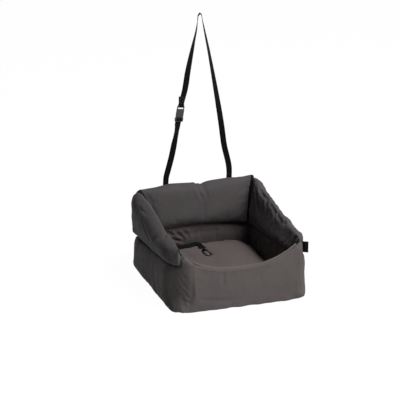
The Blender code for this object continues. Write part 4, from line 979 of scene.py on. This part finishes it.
# Creases, as seen in such a seat that has been sat in: path in metres, then width and depth in millimetres.
CREASES = {
    "wall_panels": (
        ([(-0.236, -0.228, 0.144), (-0.2, -0.245, 0.122)], 4, 2.2),
        ([(-0.234, -0.215, 0.085), (-0.214, -0.243, 0.071), (-0.183, -0.247, 0.049)], 4, 3.2),
        ([(-0.224, -0.238, 0.054), (-0.173, -0.245, 0.034)], 4, 2.6),
        ([(-0.232, -0.228, 0.115), (-0.2, -0.245, 0.087)], 4.5, 2.4),
        ([(-0.063, -0.247, 0.136), (-0.065, -0.247, 0.112), (-0.067, -0.247, 0.08)], 6, 1.8),
        ([(-0.16, -0.246, 0.047), (-0.094, -0.247, 0.035), (-0.007, -0.247, 0.027)], 7, 1.4),
        ([(0.196, -0.247, 0.178), (0.199, -0.246, 0.1), (0.201, -0.244, 0.02)], 2.2, 1.6),
        ([(-0.128, 0.192, 0.126), (-0.092, 0.188, 0.104)], 5, 5),
        ([(-0.11, 0.19, 0.095), (-0.059, 0.188, 0.078)], 5, 4.6),
        ([(-0.088, 0.19, 0.12), (-0.052, 0.188, 0.084)], 5, 4.2),
        ([(-0.06, 0.19, 0.122), (-0.04, 0.188, 0.09)], 6, 3),
        ([(0.148, 0.195, 0.115), (0.163, 0.19, 0.064)], 5, 2.4),
    ),
    "back_pad": (
        ([(-0.008, 0.205, 0.29), (-0.002, 0.19, 0.262), (0.006, 0.185, 0.232)], 5, 2.6),
        ([(-0.004, 0.215, 0.287), (-0.004, 0.228, 0.28), (-0.003, 0.242, 0.255)], 5, 3.4),
        ([(0.019, 0.196, 0.272), (0.026, 0.186, 0.23)], 6, 1.1),
        ([(-0.112, 0.186, 0.15), (-0.068, 0.184, 0.132)], 4, 2.4),
    ),
    "left_pad": (
        ([(-0.232, 0.075, 0.222), (-0.234, 0, 0.196), (-0.232, -0.06, 0.184)], 6, 2),
        ([(-0.226, 0.14, 0.236), (-0.232, 0.07, 0.236)], 5, 1.8),
        ([(-0.205, -0.06, 0.236), (-0.226, -0.13, 0.208)], 6, 1.8),
    ),
    "right_pad": (
        ([(0.196, 0.17, 0.262), (0.186, 0.12, 0.214), (0.178, 0.09, 0.19)], 6, 5),
        ([(0.208, 0.09, 0.262), (0.192, 0.06, 0.238), (0.18, 0.04, 0.205)], 5, 4.2),
        ([(0.196, 0.06, 0.254), (0.188, -0.02, 0.226), (0.182, -0.05, 0.2)], 5, 4),
        ([(0.2, 0.02, 0.244), (0.19, -0.06, 0.23), (0.188, -0.11, 0.222)], 6, 3.6),
        ([(0.206, -0.02, 0.246), (0.192, -0.045, 0.228)], 4, 3.6),
        ([(0.206, -0.09, 0.236), (0.192, -0.115, 0.216)], 4, 3.6),
        ([(0.202, 0.15, 0.268), (0.196, 0.1, 0.252), (0.2, 0.06, 0.256)], 5, 3.6),
    ),
    "seat_cushion": (
        ([(0.022, -0.04, 0.08), (0.089, -0.024, 0.08), (0.137, 0, 0.078)], 9, 1.6),
        ([(0.06, 0.175, 0.076), (0.09, 0.12, 0.08)], 8, 2.4),
        ([(0.12, 0.06, 0.08), (0.165, 0.05, 0.062)], 7, 2.2),
        ([(0, 0.18, 0.078), (0.02, 0.13, 0.08)], 7, 2),
        ([(-0.097, 0.11, 0.08), (-0.08, -0.006, 0.082)], 8, 1.2),
    ),
}
for name, creases in CREASES.items():
    skin = surface_of(pads[name])
    for path, width, depth in creases:
        snapped = [skin.find_nearest(point)[0] for point in smooth_path(path, 4)]
        press(pads[name], snapped, width * MM, depth * MM)

# The tails lie sewn down the back, as pairs of y and z from the lower end up.
TAIL = (
    (0.2577, 0.150), (0.2565, 0.1581), (0.2547, 0.1663), (0.2546, 0.1744), (0.2560, 0.1825),
    (0.2575, 0.1906), (0.2584, 0.2069), (0.2587, 0.215), (0.2560, 0.245), (0.2510, 0.2878),
)
for x in TAIL_X.values():
    under_tape(back, x, TAIL)
    under_tape(walls, x, TAIL)
rim_depths = meet_rim(walls)
reshape(walls, above_floor)
reshape(seat, above_floor)

# The wall's cloth stands up against the roll above it.
below_roll = [(x, WELL_Y - 0.002, z - 0.010) for x, _, z in BACK_INNER_SEAM]
press(walls, below_roll, width=9 * MM, depth=-5 * MM)

# The front panel's hem band.
press(walls, along_rim(-0.196, 0.196, drop=0.013, y=-0.244), width=1.6 * MM, depth=1.1 * MM, fade=False)

for name, pad in pads.items():
    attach(pad, "cushion" if pad is seat else "seat")
    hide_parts(*PADS[name])

# Sewn trims: each piping's node, path, slope of its width in plan, and width, thickness and lift in mm.
skin = surface_of(walls, left, right, back)
for node, path, slope, width, thickness, lift in (
    ("back_left_piping", BACK_LEFT_CORNER, 1, 10, 3.2, 0.6),
    ("back_right_piping", BACK_RIGHT_CORNER, -1, 10, 3.2, 0.6),
    ("front_left_piping", FRONT_LEFT_CORNER, -1, 4, 2.4, 0.8),
    ("front_right_piping", FRONT_RIGHT_CORNER, 1, 4, 2.4, 0.8),
):
    across = Vector((1, slope, 0)).normalized()
    section = tape_section(width * MM, thickness * MM)
    piping = sweep(node + "_tape", laid(path, lift * MM), across, section, TRIM_CLOTH)
    dressed(piping, "seat", "trim_fabric", node)

rim = [
    Vector((x, float(np.interp(x, *rim_depths)), float(front_rim(x)) + 0.4 * MM))
    for x in np.linspace(-0.194, 0.194, 61)
]
# The hem roll takes the lighter cloth, a painted highlight along the rim.
hem = sweep("front_hem_roll", rim, Vector((0, 0, 1)), round_section(HEM_HALF_HEIGHT, HEM_HALF_DEPTH), HEM_CLOTH_LIT)
dressed(hem, "seat", "body_fabric", "front_hem")

# A folded tag in the front right seam: out of the seam, round its own edge and back.
TAG_SLANT = math.radians(-30)
TAG_SEAM = Vector((0.2218, -0.2338, 0.182))
TAG_SEWN_IN = 6 * MM
TAG_REACH = 18.5 * MM
TAG_TURN = 1.1 * MM
TAG_PLY = 0.7 * MM
TAG_HEIGHT = 38 * MM
tag_out = Vector((math.cos(TAG_SLANT), math.sin(TAG_SLANT), 0))
tag_side = Vector((-tag_out.y, tag_out.x, 0))
tag_root = TAG_SEAM - tag_out * TAG_SEWN_IN
tag_path = [tag_root - tag_side * TAG_PLY]
for turn in np.linspace(0, math.pi, 9):
    reach = TAG_REACH + math.sin(turn) * TAG_TURN
    tag_path.append(tag_root + tag_out * reach - tag_side * math.cos(turn) * TAG_TURN)
tag_path.append(tag_root + tag_side * TAG_PLY)
tag = sweep("side_tab", tag_path, Vector((0, 0, 1)), tape_section(TAG_HEIGHT, TAG_PLY, 10), TRIM_CLOTH)
dressed(tag, "seat", "trim_fabric", "side_tag")

under = dressed(base_cloth(), "seat", "side_fabric", "base_fabric")

# Webbing: the hanging loop and its tails. Legs are pairs of x and z, turns are heights and the degrees that the
# webbing has turned there. The ladder, as pairs of y and z, and the socket's bar are millimetres in the buckle.
HINGE = Vector((0, 0.2510, 0.2880))
APEX = Vector((0, 0.2245, 0.8800))
STRAP = tape_section(WEBBING_WIDTH, STRAP_THICKNESS)
LOWER_LEG = (
    (-0.1050, 0.2880), (-0.1042, 0.2972), (-0.0955, 0.3330), (-0.0848, 0.3761), (-0.0750, 0.4262),
    (-0.0680, 0.4621),
)
LOWER_TURNS = ((0.290, 0.330, 0.411, 0.439, 0.467, 0.492), (0, -14, -14, 14, 22, 4))
UPPER_LEG = ((-0.0296, 0.680), (-0.0112, 0.777), (-0.0012, 0.826), (0.0028, 0.862))
UPPER_TURNS = ((0.592, 0.640, 0.684, 0.719, 0.754, 0.789, 0.824, 0.862), (4, -12, 5, 18, 32, 47, 58, 74))
LOOP_TOP = ((0.0048, 0.8745), (0.0105, 0.8795), (0.0162, 0.8745))
RIGHT_LEG = (
    (0.0182, 0.862), (0.0275, 0.819), (0.0408, 0.759), (0.0665, 0.629), (0.0944, 0.473), (0.1045, 0.405),
    (0.1265, 0.2972), (0.1265, 0.2880),
)
RIGHT_TURNS = (
    (0.290, 0.340, 0.440, 0.491, 0.586, 0.649, 0.719, 0.789, 0.824, 0.862),
    (0, -14, -14, 0, 22, 34, 46, 57, 64, 74),
)
LADDER = (
    (2.2, -22.5), (2.2, -14.8), (1.8, -12.6), (0, -11.2), (-2.05, -9.8), (-2.25, -8.0),
    (-1.8, -6.0), (0, -5.0), (2.4, -4.9), (4.1, -6.4), (4.3, -10.0), (4.3, -33.0),
)
BUCKLE_X = -0.0587
BUCKLE_Z = 0.517
BUCKLE_SLANT = 0.15
BUCKLE_TURN = math.radians(4)
BAR_HEIGHT = 38.5
BAR_REACH = 3.25


def lean_y(z):
    """The loop leans forward from its fold line to its top."""
    return float(np.interp(z, (HINGE.z, APEX.z), (HINGE.y, APEX.y)))


def leg_points(places):
    """Places on the loop, from pairs of x and z."""
    return [Vector((x, lean_y(z), z)) for x, z in places]


def turned(keys, z):
    """Direction over the webbing's width where it has turned on its way up."""
    angle = math.radians(float(np.interp(z, *keys)))
    return Vector((math.cos(angle), math.sin(angle), 0))


buckle_up = Vector((BUCKLE_SLANT, (APEX.y - HINGE.y) / (APEX.z - HINGE.z), 1)).normalized()
buckle_over = Vector((math.cos(BUCKLE_TURN), math.sin(BUCKLE_TURN), 0))
buckle_over = (buckle_over - buckle_up * buckle_over.dot(buckle_up)).normalized()
buckle = Matrix((buckle_over, buckle_up.cross(buckle_over), buckle_up)).transposed().to_4x4()
buckle.translation = Vector((BUCKLE_X, lean_y(BUCKLE_Z), BUCKLE_Z))

ladder = [buckle @ Vector((0, deep * MM, up * MM)) for deep, up in LADDER]
leg_path = smooth_path([*leg_points(LOWER_LEG), ladder[0]], 8)[:-1]
ladder_path = smooth_path(ladder, 5)
over = [turned(LOWER_TURNS, point.z) for point in leg_path] + [buckle_over] * len(ladder_path)
lower = sweep("loop_lower_webbing", leg_path + ladder_path, over, STRAP, WEBBING)

fold_points = [(-4.5, -1, 75.5), (-2.25, -1, 61.5), (0, -1, 47.5)]
fold_points += [(0, -BAR_REACH * math.cos(turn), BAR_HEIGHT - BAR_REACH * math.sin(turn)) for turn in HALF_TURN]
fold_points += [(0, 1, 47.5), (1.5, 1, 61.5), (3, 1, 75.5)]
fold_path = [buckle @ (Vector(point) * MM) for point in fold_points]
end_fold = sweep("loop_end_fold", fold_path, buckle_over, STRAP, WEBBING)

leg_start = [buckle @ (Vector(point) * MM) for point in ((3.03, 1, 75.8), (4.53, 1, 89.8))]
up_path = smooth_path([*leg_start, *leg_points(UPPER_LEG)], 8)
top_path = smooth_path(leg_points([UPPER_LEG[-1], *LOOP_TOP, RIGHT_LEG[0]]), 8)[1:-1]
down_path = smooth_path(leg_points(RIGHT_LEG), 8)
over = [turned(UPPER_TURNS, point.z) for point in up_path]
over += [turned(UPPER_TURNS, APEX.z)] * len(top_path)
over += [turned(RIGHT_TURNS, point.z) for point in down_path]
upper = sweep("loop_upper_webbing", up_path + top_path + down_path, over, STRAP, WEBBING)

for piece, node in ((lower, "strap_lower"), (upper, "strap_upper")):
    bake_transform(piece)
    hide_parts(node)
dressed(end_fold, "socket", "webbing", "strap_end_fold")
dressed(tether, "tether", "webbing", "tether_webbing")
dressed(tether_fold, "tether", "webbing", "tether_end_loop")
dressed(patch, "seat", "webbing", "tether_anchor")

rear = surface_of(back, walls)
for node, x in TAIL_X.items():
    path = smooth_path([(x, y, z) for y, z in TAIL], 3)
    for point in path[:-4]:
        met = rear.ray_cast(Vector((x, 0.30, point.z)), Vector((0, -1, 0)))[0]
        point.y = min(point.y, met.y + 1.0 * MM)
    tail = sweep(node + "_webbing", path, Vector((1, 0, 0)), STRAP, WEBBING)
    dressed(tail, "seat", "webbing", node)

for material, nodes in (
    (BOARD, ("base_board",)),
    (PLASTIC, ("buckle_plug", "buckle_socket", "buckle_prong_left", "buckle_prong_right")),
    (HOOK_METAL, ("hook_eye", "hook_body", "hook_gate", "hook_gate_pin")),
):
    for node in nodes:
        for place in cad[node].material_slots:
            place.material = material

# Seams: stitched hem, a twin seam at the front right, and a box with a cross on the loop's fold.
forward = Vector((0, -1, 0))
seams = [along_rim(-0.195, 0.195, drop, FRONT_Y) for drop in (0.0105, 0.0155)]
seams += [[Vector((inset, FRONT_Y, z)) for z in np.linspace(0.188, 0.012, 20)] for inset in (0.194, 0.203)]
rows = [spot for seam in seams for spot in sewn_row(seam, STITCH_PITCH, walls, forward)]
hem_rows = stitches("hem_stitches", rows, THREAD)
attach(hem_rows, "seat")

rows = []
for run in box_and_cross(WEBBING_WIDTH, 0.0495, 0.0735, 3 * MM):
    for sign in (-1, 1):
        path = [buckle @ Vector((over, sign * 2.0 * MM, up)) for over, up in run]
        rows += sewn_row(path, WEBBING_STITCH_PITCH, None, buckle.to_3x3() @ Vector((0, sign, 0)))
loop_rows = stitches("loop_stitches", rows, THREAD_BLACK, 2.0 * MM, 0.3 * MM)
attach(loop_rows, "socket")
